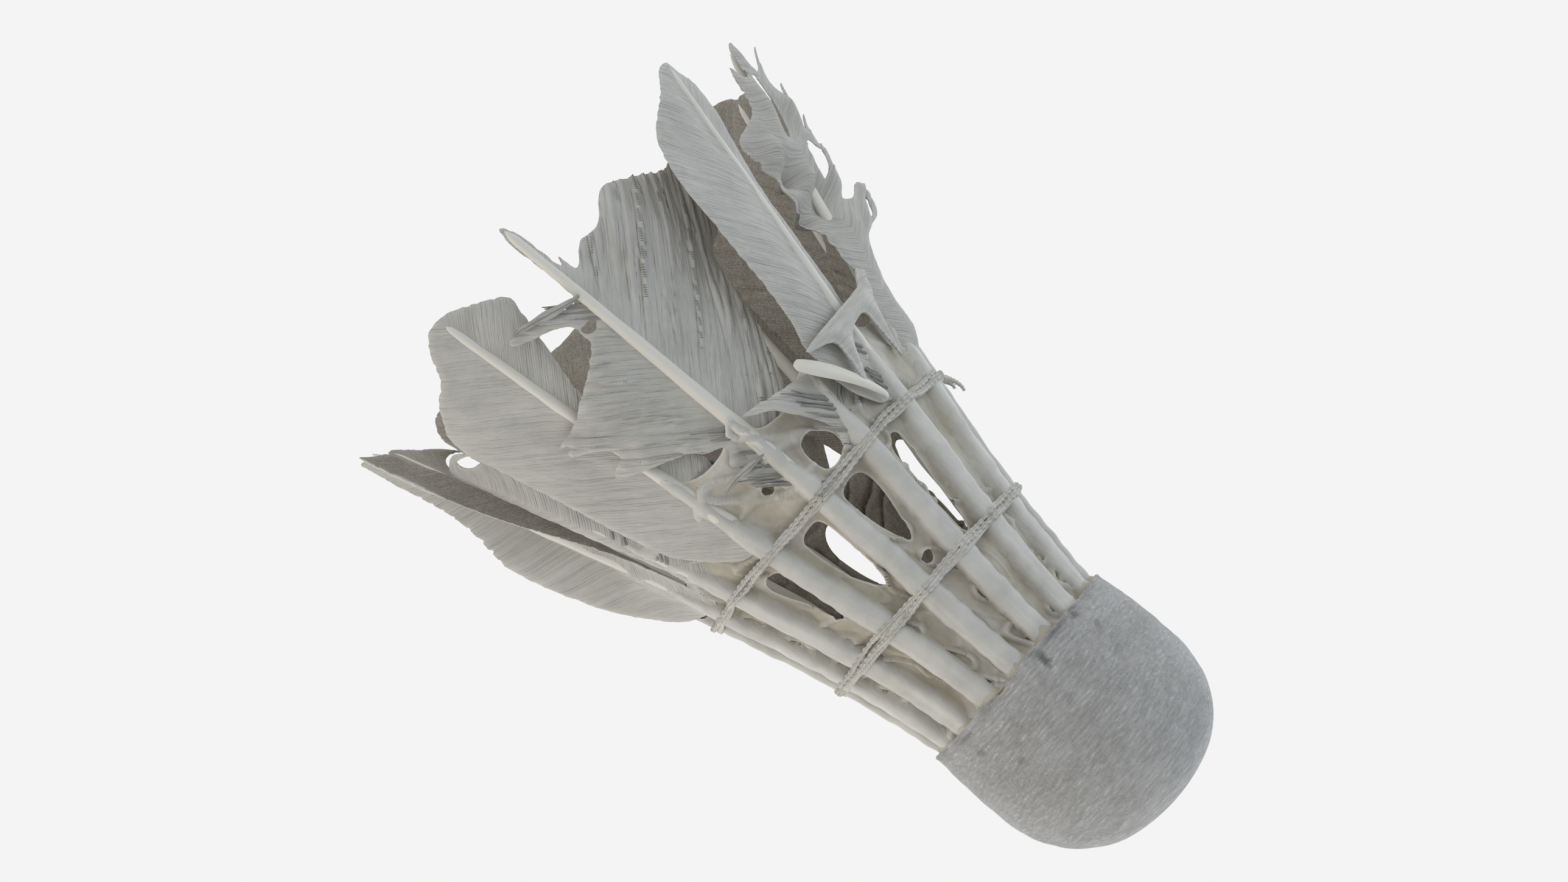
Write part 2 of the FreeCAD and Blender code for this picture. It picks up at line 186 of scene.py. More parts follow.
FEATHERS = (
    feather(66.2, 0.0, -1.4, (
        (1.2, 27.6), (2.8, 30.9), (4.2, 33.6), (7.4, 36.7), (10.0, 40.7), (11.9, 43.7), (13.4, 47.4),
        (15.3, 50.6), (18.4, 52.0), (20.6, 54.6), (21.0, 59.6), (19.0, 59.6), (15.2, 60.9), (11.3, 62.3),
        (9.4, 61.7), (7.8, 60.5), (6.0, 60.0), (4.8, 60.3), (3.6, 59.9), (2.6, 59.1), (1.7, 58.9),
        (1.6, 60.7), (1.0, 59.9), (0.8, 62.0), (0.7, 64.4), (0.2, 66.3), (-0.4, 66.3), (-0.7, 64.2),
        (-0.6, 61.5), (-0.6, 58.0), (-0.9, 56.8), (-1.8, 56.7), (-3.5, 57.3), (-5.8, 58.3), (-7.5, 58.8),
        (-8.2, 58.6), (-7.8, 58.0), (-6.1, 57.0), (-4.4, 56.2), (-3.2, 55.3), (-3.0, 53.9), (-3.2, 52.6),
        (-5.4, 51.2), (-8.2, 49.9), (-10.5, 49.0), (-13.4, 48.7), (-12.0, 48.1), (-13.2, 47.4),
        (-11.1, 46.0), (-9.8, 44.5), (-9.9, 43.6), (-11.6, 43.0), (-11.2, 42.1), (-8.4, 40.5),
        (-5.6, 39.0), (-4.2, 37.6), (-2.5, 36.3), (-3.6, 34.8), (-2.0, 33.5), (-3.9, 32.2), (-2.1, 30.6),
        (-1.6, 27.6)),
        holes=(((-2.7, 54.3), (-1.7, 54.4), (-1.0, 54.0), (-1.8, 53.4), (-2.6, 53.6)),),
        clump=0.42, pitch=2.0, curl=(-0.9, 0.4), sink=0.45, cords=0.42,
        dents=((3.5, 58, 2.0, 5.0, -0.5), (11, 56, 4.0, 4.0, 0.5), (-7, 47, 5.0, 2.5, 0.9),
               (-7, 42.5, 4.0, 1.6, 0.8), (15, 47, 3.0, 5.0, -0.5))),
    feather(36.0, 2.5, 0.0, (
        (-1.7, 27.8), (-1.9, 30.2), (-3.4, 32.6), (-4.6, 34.0), (-6.0, 35.5), (-8.2, 36.9), (-6.9, 36.8),
        (-3.3, 36.1), (-0.6, 35.4), (1.6, 34.7), (3.1, 33.7), (3.3, 31.0), (2.2, 27.8)),
        clump=0.10, lift=0.55, curl=(1.2, -0.5), cords=0.35,
        dents=((-4.0, 35.0, 3.0, 0.9, 0.5), (0.5, 33, 1.5, 2, -0.3))),
    feather(66.4, 4.2, -0.7, (
        (-2.2, 27.8), (-4.6, 29.5), (-6.4, 32.1), (-7.7, 36.8), (-7.3, 40.0), (-7.9, 45.7), (-8.4, 51.0),
        (-8.9, 56.0), (-8.8, 59.4), (-8.1, 61.5), (-5.8, 63.3), (-4.2, 64.4), (-2.9, 65.4), (-1.2, 66.4),
        (0.8, 66.4), (2.0, 65.1), (3.5, 64.3), (4.9, 63.8), (5.6, 62.0), (5.2, 59.4), (5.9, 56.0),
        (8.2, 52.0), (9.4, 46.0), (8.2, 39.0), (4.8, 33.0), (1.8, 28.0)),
        clump=0.05, pitch=1.3, curl=(-0.2, -2.4),
        dents=((5.4, 45.5, 2.2, 6.5, -2.6), (-3.5, 48, 2.6, 12.0, 0.6), (3.0, 60, 1.8, 4.0, 0.5),
               (2.2, 44.0, 0.8, 9.0, 0.5))),
    feather(64.4, 8.0, 2.0, (
        (1.2, 29.0), (1.2, 32.0), (0.8, 35.4), (1.7, 40.5), (3.2, 41.6), (5.0, 42.0), (5.8, 43.2),
        (5.4, 44.8), (4.2, 45.9), (3.0, 45.0), (1.8, 45.7), (2.6, 47.2), (2.2, 49.2), (3.1, 50.7),
        (2.2, 51.3), (3.2, 54.6), (1.8, 53.2), (2.6, 58.4), (1.5, 56.8), (1.1, 59.4), (2.0, 63.0),
        (0.4, 60.8), (-0.6, 64.8), (-1.4, 63.9), (-1.1, 60.6), (-2.4, 63.0), (-2.5, 60.1), (-2.8, 58.1),
        (-4.4, 57.6), (-6.1, 56.7), (-5.5, 53.3), (-3.8, 49.0), (-2.7, 42.8), (-1.7, 38.5), (-2.4, 35.3),
        (-1.6, 31.0), (-1.4, 28.4)),
        holes=(((3.9, 42.5), (4.7, 42.5), (4.9, 43.9), (4.2, 44.1)),
               ((-0.5, 61.0), (-0.9, 56.6), (-0.4, 53.6), (0.1, 57.0)),
               ((1.3, 52.2), (1.7, 49.8), (1.2, 48.4), (0.9, 50.4))),
        clump=0.24, pitch=2.4, lift=1.5, curl=(-1.0, 0.0), twist=-38.0, sink=0.35, cords=0.45,
        dents=((-2.4, 51.2, 1.3, 1.3, -2.7), (-2.4, 47.0, 1.2, 1.4, -2.5), (0.2, 46.6, 1.5, 2.0, -2.2),
               (-3.6, 53.5, 1.2, 2.2, 1.4), (0.9, 43.5, 1.2, 2.4, 0.8), (-1.0, 49.5, 0.7, 1.0, 1.1),
               (1.9, 49, 1.0, 3.2, 1.0), (-1.2, 57.5, 0.6, 3.0, 0.9), (1.4, 56.0, 0.6, 2.6, 0.9))),
    feather(50.0, 3.0, 2.0, (
        (-1.5, 28.0), (-3.8, 31.5), (-6.0, 36.0), (-5.2, 39.0), (-6.2, 43.0), (-3.6, 44.2), (-2.4, 47.6),
        (-1.2, 46.0), (-0.4, 50.2), (0.8, 50.0), (1.6, 45.5), (3.4, 48.2), (4.2, 45.0), (6.0, 42.6),
        (6.4, 38.0), (4.6, 33.0), (1.8, 28.0)), clump=0.3, curl=(0.5, -1.0), fine=False),
    feather(62.8, 0.0, 1.5, whole(62.8, 10.0, 6.6, 1.2, (-1, 51, 3.0)), curl=(-0.8, 0.2), fine=False),
    feather(66.4, 0.0, 0.0, whole(66.4, 11.5, 7.2), curl=(-0.6, 0.4), fine=False),
    feather(66.4, 0.0, -1.0, whole(66.4, 11.0, 7.0, 1.1, (1, 46, 2.4)), curl=(-1.2, 0.0), fine=False),
    feather(53.0, 0.0, 1.0, (
        (-1.6, 28.0), (-4.0, 31.0), (-7.5, 36.0), (-9.6, 42.0), (-10.4, 47.0), (-7.4, 48.0), (-7.8, 50.6),
        (-4.2, 49.6), (-2.6, 52.4), (-0.4, 53.0), (1.2, 51.6), (3.0, 52.4), (4.8, 49.0), (6.4, 46.0),
        (5.8, 40.0), (3.2, 32.0), (1.6, 28.0)), clump=0.25, curl=(-0.5, -0.3), fine=False),
    feather(62.4, 0.0, 0.5, (
        (-1.6, 28.0), (-3.6, 30.5), (-7.2, 35.0), (-9.8, 42.0), (-11.2, 51.0), (-11.0, 58.0), (-9.6, 61.8),
        (-4.0, 62.2), (0.0, 62.4), (3.6, 62.0), (6.4, 62.2), (7.0, 55.0), (6.4, 46.0), (4.8, 38.0),
        (2.4, 31.0), (1.5, 28.0)), curl=(-0.9, 0.3), fine=False),
    feather(66.4, 0.0, 0.0, whole(66.4, 12.0, 7.0, 1.0, (-1, 57, 4.0)), curl=(-0.5, 0.5), fine=False,
            holes=(((0.8, 57.0), (3.0, 55.8), (5.6, 57.4), (5.9, 60.6), (3.4, 62.0), (1.0, 60.6)),)),
    feather(66.4, 0.0, -1.0, whole(66.4, 11.2, 7.2, 1.2), curl=(-1.0, 0.2), fine=False,
            holes=(((-10.2, 57.0), (-7.6, 55.8), (-4.6, 57.4), (-4.4, 60.6), (-7.0, 62.0), (-9.4, 60.8)),)),
    feather(62.8, 0.0, -1.0, whole(62.8, 10.6, 6.4, 1.0, (1, 55, 2.6)), curl=(-0.7, 0.4),
            dents=((-5.2, 52, 2.6, 12, -3.4), (-9.6, 52, 1.5, 9, 0.3), (-3.5, 40, 1.6, 6, -1.2))),
    feather(64.4, -1.2, 1.0, (
        (-1.8, 27.8), (-4.6, 29.6), (-6.1, 35.6), (-5.9, 44.4), (-4.4, 52.4), (-2.9, 58.4), (-2.1, 62.7),
        (-1.7, 64.5), (-0.2, 63.3), (2.2, 62.9), (4.2, 64.1), (4.8, 62.0), (4.9, 57.1), (4.0, 52.0),
        (3.4, 46.0), (2.8, 38.0), (2.6, 32.6), (1.8, 27.8)),
        clump=0.06, curl=(3.0, 8.0), stubs=0.2, sink=-0.45,
        dents=((4.6, 52, 2.0, 20, 2.6), (-3.6, 60, 1.6, 9, 2.6), (-5.6, 46, 1.5, 12, 1.6),
               (-3.0, 49, 1.7, 13, -3.6), (1.6, 50, 1.2, 12, -1.4))),
    feather(54.5, -6.5, -7.0, (
        (-1.2, 27.8), (-1.0, 33.7), (-1.2, 39.8), (-1.2, 44.7), (-1.1, 49.6), (-0.9, 52.9), (-1.1, 55.1),
        (-0.3, 56.2), (1.6, 57.1), (3.1, 56.5), (4.9, 54.8), (4.8, 53.9), (3.2, 53.2), (3.9, 52.8),
        (5.8, 51.8), (7.8, 50.7), (9.6, 49.9), (10.8, 49.4), (9.4, 47.9), (7.6, 44.0), (6.0, 38.5),
        (4.9, 33.5), (3.4, 27.8)),
        holes=(((1.7, 56.3), (2.8, 56.0), (3.7, 55.3), (4.3, 54.4), (3.7, 54.2), (2.5, 54.5), (1.6, 55.2)),
               ((4.0, 33.4), (4.6, 35.4), (4.2, 37.0), (3.2, 36.0), (2.7, 33.5), (3.1, 31.6))),
        clump=0.10, curl=(0.0, -0.7), lift=0.5, stubs=0.5, cords=0.16,
        dents=((2.8, 55.4, 2.2, 1.6, 0.9), (7.5, 50.6, 3.0, 0.9, 0.35), (3.5, 44, 2.5, 5, -0.5))),
    feather(65.4, -4.5, 4.0, (
        (-1.8, 27.8), (-4.0, 29.5), (-7.0, 33.5), (-8.4, 39.6), (-9.6, 47.4), (-10.4, 53.0), (-10.9, 55.4),
        (-10.4, 58.0), (-9.0, 59.3), (-7.2, 60.6), (-5.5, 61.4), (-4.3, 62.8), (-3.1, 64.4), (-1.7, 65.4),
        (0.1, 65.5), (1.9, 64.9), (3.3, 64.0), (5.0, 62.9), (6.0, 62.0), (5.8, 60.6), (3.8, 55.1),
        (2.3, 50.4), (2.7, 46.3), (4.4, 39.2), (3.2, 33.3), (1.6, 27.8)),
        clump=0.09, pitch=2.4, curl=(-1.3, -0.3),
        dents=((-3.0, 47, 1.6, 6, -0.35), (-6, 60, 1.4, 2.4, 0.3), (3.4, 61, 2, 3, 0.3))),
)

# holes torn in the upper film: the gap after a feather, then (across, drop), across from -1 to 1
WINDOWS = (
    (0, ((-0.52, 24.7), (-0.20, 25.3), (0.20, 25.3), (0.42, 24.6), (0.46, 23.0), (0.38, 20.5), (0.22, 18.0),
         (0.02, 16.8), (-0.16, 17.2), (-0.32, 18.6), (-0.48, 20.5), (-0.56, 23.0))),
    (0, ((-0.30, 14.6), (0.0, 15.0), (0.22, 14.5), (0.05, 13.8), (-0.22, 13.9))),
    (0, ((-0.28, 27.6), (0.15, 27.4), (0.50, 28.2), (0.50, 29.8), (0.10, 31.4), (-0.30, 31.2),
         (-0.42, 29.4))),
    (1, ((-0.32, 24.2), (-0.08, 25.3), (0.20, 25.2), (0.34, 24.0), (0.34, 20.5), (0.32, 16.0), (0.14, 13.4),
         (-0.06, 13.3), (-0.24, 14.6), (-0.28, 19.0), (-0.38, 22.6))),
    (14, ((-0.34, 24.4), (0.0, 25.2), (0.40, 24.8), (0.62, 23.2), (0.66, 20.6), (0.56, 18.0), (0.34, 16.6),
          (0.12, 17.6), (-0.10, 19.6), (-0.32, 22.0))),
    (14, ((-0.62, 33.6), (-0.30, 34.8), (0.05, 33.2), (0.24, 31.2), (0.10, 29.8), (-0.22, 30.2),
          (-0.52, 31.8))),
    (15, ((-0.34, 24.2), (-0.15, 25.0), (0.20, 25.2), (0.45, 24.9), (0.54, 23.5), (0.52, 20.5), (0.46, 17.5),
          (0.28, 15.9), (0.08, 15.9), (-0.12, 17.2), (-0.30, 19.0), (-0.38, 21.5))),
    (15, ((0.10, 30.8), (0.30, 31.3), (0.46, 30.7), (0.28, 30.1))),
    (6, ((-0.62, 25.0), (-0.2, 25.2), (0.0, 22.0), (-0.16, 17.0), (-0.36, 13.8), (-0.60, 14.6),
         (-0.66, 20.0))),
    (8, ((-0.52, 24.8), (-0.1, 25.0), (0.30, 23.0), (0.32, 19.0), (0.10, 16.4), (-0.20, 17.0),
         (-0.46, 20.6))),
    (11, ((-0.3, 24.0), (0.2, 24.4), (0.3, 21.0), (0.0, 18.0), (-0.36, 20.4))),
)
# how far the film climbs over the upper thread, where it fills the gap between two vanes, in mm
FILM_RISE = {0: 10.0, 1: 10.0, 2: 10.0, 3: 8.0, 13: 6.0, 14: 13.0, 15: 12.0}

# a torn web that bridges the third and fourth feathers: (across, drop) in mm from the third stem
TORN_WEB = ((-8.6, 36.6), (-2.7, 37.3), (2.2, 37.7), (5.7, 38.2), (9.5, 40.0), (13.0, 41.4), (10.4, 38.6),
            (7.0, 36.2), (5.6, 33.4), (5.0, 30.0), (3.6, 33.6), (2.2, 35.6), (-1.0, 35.2), (-2.8, 33.6),
            (-4.2, 30.4), (-4.6, 33.4), (-5.2, 35.4))

# splinters: node, then (turn in feathers, drop mm, stand-off mm) along its line, width mm, flatness,
# slot and finish
SPLINTERS = (
    ("quill_splinter", ((1.84, 28.0, 1.4), (1.68, 29.6, 2.1), (1.38, 32.4, 2.5), (1.08, 35.4, 2.7),
                        (0.94, 36.7, 2.5)), 0.80, 0.50, "quill", "quill"),
    ("barb_splinter", ((-0.06, 33.2, 1.6), (-0.30, 33.4, 2.1), (-0.55, 33.6, 2.2), (-0.80, 33.2, 1.9)),
     0.38, 0.5, "vane", "vane_outside"),
    ("finger_splinter", ((-0.06, 56.6, 0.7), (-0.25, 57.1, 1.0), (-0.50, 58.1, 1.3), (-0.72, 58.8, 1.2)),
     0.42, 0.6, "vane", "vane_outside"),
)

# tufts of loose barbs: feather, side, first and last drop, number, length mm, how far the ends lift mm
TUFTS = (
    (0, -1, 28.5, 37.0, 15, 4.6, 1.0), (0, -1, 53.0, 57.0, 4, 5.0, 0.3), (1, -1, 28.0, 33.0, 7, 4.5, 0.6),
    (1, 1, 28.0, 32.0, 6, 3.0, 0.6), (2, -1, 28.0, 34.0, 8, 4.5, 0.7), (2, 1, 28.5, 36.0, 8, 4.0, 0.6),
    (14, 1, 28.5, 40.0, 8, 4.0, 0.2), (15, 1, 28.5, 36.0, 8, 3.2, 0.4), (8, -1, 40.0, 47.0, 5, 3.5, 0.4),
)

# dirt marks on the leather: (x, height over the flat face, half width, half height) in mm, and strength
STAINS = ((-2.5, 1.1, 0.55, 1.1, 0.85), (-2.4, 2.0, 0.3, 0.5, 0.5), (-7.9, 0.6, 0.6, 0.8, 0.7),
          (-5.4, 0.2, 1.0, 0.25, 0.5), (9.2, 0.6, 1.3, 0.25, 0.6), (8.9, 2.8, 0.5, 0.5, 0.5),
          (6.8, 6.2, 0.5, 0.35, 0.4), (5.6, 4.6, 0.6, 0.6, 0.25), (-8.8, 3.0, 0.4, 0.4, 0.35))


# ---- the skirt's geometry ----
def skirt():
    return bpy.context.scene.shuttle_skirt


def ring_radius(drop):
    """Radius of the ring of stems: opens along a parabola down to the bend, then straight."""
    s = skirt()
    run = s.feather_length - s.bend_drop
    bow = ((s.tip_ring - s.root_ring - s.root_slope * s.feather_length)
           / (s.bend_drop ** 2 + 2 * s.bend_drop * run))
    bent = np.clip(drop, 0.0, s.bend_drop)
    return s.root_ring + s.root_slope * drop + bow * bent * (2 * np.maximum(drop, 0.0) - bent)


def stem_radius(drop):
    """Radius of a stem: the taper table read at the share of the feather's length."""
    shares, factors = zip(*STEM_TAPER)
    s = skirt()
    inside = 1.0 - 0.2 * np.clip(-drop / s.quill_depth, 0.0, 1.0)
    return s.quill_radius * inside * np.interp(drop / s.feather_length, shares, factors)


def feather_turn(index, drop):
    """Turn about the axis: even steps at the cork, then the feather's own lean, eased in."""
    s = skirt()
    waist = np.array([state["waist"] for state in FEATHERS])[index % FEATHER_COUNT]
    tip = np.array([state["tip"] for state in FEATHERS])[index % FEATHER_COUNT]
    near = np.clip(drop / s.upper_drop, 0.0, 1.0)
    far = np.maximum(drop - s.upper_drop, 0.0) / (s.feather_length - s.upper_drop)
    lean = waist * near * near * (3 - 2 * near) + tip * far
    return index * STEP + np.radians(lean)


def place(radius, turn, drop):
    """Point at a radius, a turn and a drop; turn 0 faces -Y and grows towards -X."""
    return np.stack([-radius * np.sin(turn), -radius * np.cos(turn), FACE_HEIGHT - drop + 0 * turn], -1)


def vane_point(index, across, drop, lift):
    """Point of a vane: across its stem along the ring, sinking inwards to the right by the twist."""
    ring = ring_radius(drop)
    twist = FEATHERS[index]["twist"]
    twist = skirt().twist if twist is None else math.radians(twist)
    turn = feather_turn(index, drop) + across * math.cos(twist) / ring
    return place(ring - across * math.sin(twist) + lift, turn, drop)


def smooth_step(x):
    x = np.clip(x, 0.0, 1.0)
    return x * x * (3 - 2 * x)


def smooth_max(a, b, width):
    """The larger of two heights, with the corner between them rounded over a width."""
    return 0.5 * (a + b + np.sqrt((a - b) ** 2 + width * width))


def wander(seed, *coordinates, waves=7):
    """Smooth noise of about unit size: a sum of sine waves in seeded directions."""
    rng = np.random.default_rng(seed)
    total = 0.0
    for _ in range(waves):
        directions = rng.normal(size=len(coordinates))
        phase = rng.uniform(0, 2 * math.pi)
        total = total + np.sin(sum(d * c for d, c in zip(directions, coordinates)) + phase)
    return total / math.sqrt(waves / 2)


# ---- meshes ----
def make_piece(name, points, quads, tris=None, uv=None, marks=None, inner=None, raised=None):
    """Mesh object from arrays. Faces are turned outwards by the sign of the volume they enclose."""
    tris = np.zeros((0, 3), int) if tris is None else tris
    a, b, c, d = (points[quads[:, k]] for k in range(4))
    volume = np.einsum("ij,ij->", a, np.cross(b, c)) + np.einsum("ij,ij->", a, np.cross(c, d))
    if len(tris):
        a, b, c = (points[tris[:, k]] for k in range(3))
        volume += np.einsum("ij,ij->", a, np.cross(b, c))
    if volume < 0:
        quads, tris = quads[:, ::-1], tris[:, ::-1]
    mesh = bpy.data.meshes.new(name)
    corners = np.concatenate([quads.ravel(), tris.ravel()]).astype(np.int32)
    starts = np.concatenate([np.arange(len(quads)) * 4, len(quads) * 4 + np.arange(len(tris)) * 3])
    mesh.vertices.add(len(points))
    mesh.vertices.foreach_set("co", points.astype(np.float32).ravel())
    mesh.loops.add(len(corners))
    mesh.loops.foreach_set("vertex_index", corners)
    mesh.polygons.add(len(starts))
    mesh.polygons.foreach_set("loop_start", starts.astype(np.int32))
    mesh.polygons.foreach_set("use_smooth", np.ones(len(starts), bool))
    if inner is not None:
        mesh.polygons.foreach_set("material_index", inner.astype(np.int32))
    if uv is not None:
        layer = mesh.uv_layers.new(name="Barbs")
        layer.data.foreach_set("uv", uv[corners].astype(np.float32).ravel())
    if marks is not None:
        mesh.attributes.new("edge", "FLOAT", "POINT").data.foreach_set("value", marks.astype(np.float32))
    if raised is not None:
        mesh.attributes.new("raised", "FLOAT", "POINT").data.foreach_set("value", raised.astype(np.float32))
    mesh.update(calc_edges=True)
    mesh.validate()
    piece = bpy.data.objects.new(name, mesh)
    bpy.context.collection.objects.link(piece)
    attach(piece, BODY)
    return piece


def rounded(polygon, steps=4):
    """Closed curve through the corners: a Catmull-Rom spline with a few steps per side."""
    p = np.asarray(polygon, float)
    before, after, beyond = np.roll(p, 1, 0), np.roll(p, -1, 0), np.roll(p, -2, 0)
    t = (np.arange(steps) / steps)[None, :, None]
    p0, p1, p2, p3 = (q[:, None, :] for q in (before, p, after, beyond))
    curve = 0.5 * (2 * p1 + (p2 - p0) * t + (2 * p0 - 5 * p1 + 4 * p2 - p3) * t ** 2
                   + (3 * p1 - p0 - 3 * p2 + p3) * t ** 3)
    return curve.reshape(-1, 2)


def signed_depth(u, v, polygon):
    """Distance of points from a polygon's border, positive inside, by the even-odd rule."""
    start, end = polygon, np.roll(polygon, -1, 0)
    best = np.full(u.shape, np.inf)
    inside = np.zeros(u.shape, bool)
    for (x0, y0), (x1, y1) in zip(start, end):
        ex, ey = x1 - x0, y1 - y0
        share = np.clip(((u - x0) * ex + (v - y0) * ey) / max(ex * ex + ey * ey, 1e-18), 0, 1)
        best = np.minimum(best, (u - x0 - share * ex) ** 2 + (v - y0 - share * ey) ** 2)
        if y0 != y1:
            crosses = (y0 > v) != (y1 > v)
            inside ^= crosses & (u < x0 + (v - y0) * ex / ey)
    return np.where(inside, 1, -1) * np.sqrt(best)


def cut_sheet(outline, holes, spacing, fray=None, stretch=1.0):
    """Flat grid trimmed to an outline less its holes; border points slide onto the border."""
    outline = rounded(outline)
    low, high = outline.min(0) - spacing, outline.max(0) + spacing
    us = np.arange(low[0], high[0] + spacing / stretch, spacing / stretch)
    vs = np.arange(low[1], high[1] + spacing, spacing)
    u, v = np.meshgrid(us, vs)
    scaled = outline * (stretch, 1.0)
    depth = signed_depth(u * stretch, v, scaled)
    for hole in holes:
        depth = np.minimum(depth, -signed_depth(u * stretch, v, rounded(hole) * (stretch, 1.0)))
    if fray is not None:
        depth = depth - fray(u, v)
    slope_v, slope_u = np.gradient(depth, spacing)
    kept = depth > 0
    steep = np.maximum(slope_u ** 2 + slope_v ** 2, 0.4)
    shift = np.where(kept, 0.0, np.clip(depth, -1.6 * spacing, 0.0)) / steep
    u = u - shift * slope_u / stretch
    v = v - shift * slope_v
    rows, columns = u.shape
    cell = kept[:-1, :-1] | kept[1:, :-1] | kept[:-1, 1:] | kept[1:, 1:]
    row, column = np.nonzero(cell)
    corner = row * columns + column
    quads = np.stack([corner, corner + 1, corner + columns + 1, corner + columns], -1)
    used, quads = np.unique(quads, return_inverse=True)
    return u.ravel()[used], v.ravel()[used], np.maximum(depth.ravel()[used], 0.0), quads.reshape(-1, 4)


def point_normals(points, quads):
    """Unit normals at points: the crossed diagonals of the faces round each, added up."""
    across = np.cross(points[quads[:, 2]] - points[quads[:, 0]], points[quads[:, 3]] - points[quads[:, 1]])
    total = np.zeros_like(points)
    for k in range(4):
        np.add.at(total, quads[:, k], across)
    return total / np.maximum(np.linalg.norm(total, axis=1, keepdims=True), 1e-12)


def thicken(middle, quads, thickness):
    """Closed sheet: copies half the thickness either way along the normals, joined round the border."""
    count = len(middle)
    normals = point_normals(middle, quads)
    outward = np.sign((normals * middle * (1, 1, 0)).sum(1).sum()) or 1.0
    half = normals * outward * thickness[:, None] / 2
    sides = np.concatenate([quads[:, [0, 1]], quads[:, [1, 2]], quads[:, [2, 3]], quads[:, [3, 0]]])
    key = np.sort(sides, 1) @ (count, 1)
    _, first, uses = np.unique(key, return_index=True, return_counts=True)
    border = sides[first[uses == 1]]
    rim = np.stack([border[:, 1], border[:, 0], border[:, 0] + count, border[:, 1] + count], -1)
    faces = np.concatenate([quads, quads[:, ::-1] + count, rim])
    inner = np.concatenate([np.zeros(len(quads)), np.ones(len(quads)), np.zeros(len(rim))])
    return np.concatenate([middle + half, middle - half]), faces, inner


def tube(path, outward, profile, closed=False):
    """Profile carried along a path. profile is (stations, points, 2): outward and sideways offsets."""
    ahead = (np.roll(path, -1, 0) - np.roll(path, 1, 0)) if closed else np.gradient(path, axis=0)
    ahead = ahead / np.linalg.norm(ahead, axis=1, keepdims=True)
    up = outward - (outward * ahead).sum(1, keepdims=True) * ahead
    up = up / np.linalg.norm(up, axis=1, keepdims=True)
    side = np.cross(ahead, up)
    points = path[:, None] + up[:, None] * profile[..., :1] + side[:, None] * profile[..., 1:]
    stations, around = profile.shape[:2]
    row = np.arange(stations if closed else stations - 1)[:, None]
    column = np.arange(around)[None, :]
    onward = (row + 1) % stations
    quads = np.stack([row * around + column, row * around + (column + 1) % around,
                      onward * around + (column + 1) % around, onward * around + column], -1).reshape(-1, 4)
    points = points.reshape(-1, 3)
    if closed:
        return points, quads, None
    ends = np.stack([path[0], path[-1]])
    ring = np.arange(around)
    first = np.stack([(ring + 1) % around, ring, np.full(around, len(points))], -1)
    last = np.stack([ring, (ring + 1) % around, np.full(around, len(points) + 1)], -1)
    last[:, :2] += (stations - 1) * around
    return np.concatenate([points, ends]), quads, np.concatenate([first, last])


def joined(parts):
    """Several (points, quads, tris) in one, with the face numbers moved along."""
    points, quads, tris, count = [], [], [], 0
    for p, q, t in parts:
        points.append(p)
        quads.append(q + count)
        if t is not None:
            tris.append(t + count)
        count += len(p)
    return np.concatenate(points), np.concatenate(quads), np.concatenate(tris) if tris else None


def outward_of(points):
    flat = points * (1, 1, 0)
    return flat / np.maximum(np.linalg.norm(flat, axis=1, keepdims=True), 1e-9)


def section_turns(sides):
    return np.linspace(0, 2 * math.pi, sides, endpoint=False)[None, :]


def swept(path, around, out, side=None, closed=False):
    """Tube along a path: the half sizes of its section outwards and sideways, for each point."""
    side = out if side is None else side
    profile = np.stack([out * np.cos(around), side * np.sin(around)], -1)
    return tube(path, outward_of(path), profile, closed)


def tube_uv(a, b, closed=False):
    """Texture places of a tube's points; an open tube has one point more at each end."""
    uv = np.stack(np.broadcast_arrays(a, b), -1).reshape(-1, 2)
    return uv if closed else np.concatenate([uv, uv[:1], uv[-1:]])


def ring_quads(rows, columns):
    """Faces between each ring of points and the next, with the last ring joined to the first."""
    row = np.arange(rows)[:, None]
    column = np.arange(columns)[None, :]
    onward, beside = (row + 1) % rows, (column + 1) % columns
    return np.stack([row * columns + column, row * columns + beside,
                     onward * columns + beside, onward * columns + column], -1)


def make_sheet(name, middle, quads, thick, uv, depth, raised=None):
    """A sheet given thickness; both its faces share their texture places and edge marks."""
    points, faces, inner = thicken(middle, quads, thick)
    raised = None if raised is None else np.tile(raised, 2)
    return make_piece(name, points, faces, None, np.tile(uv, (2, 1)), np.tile(depth / MM, 2), inner, raised)


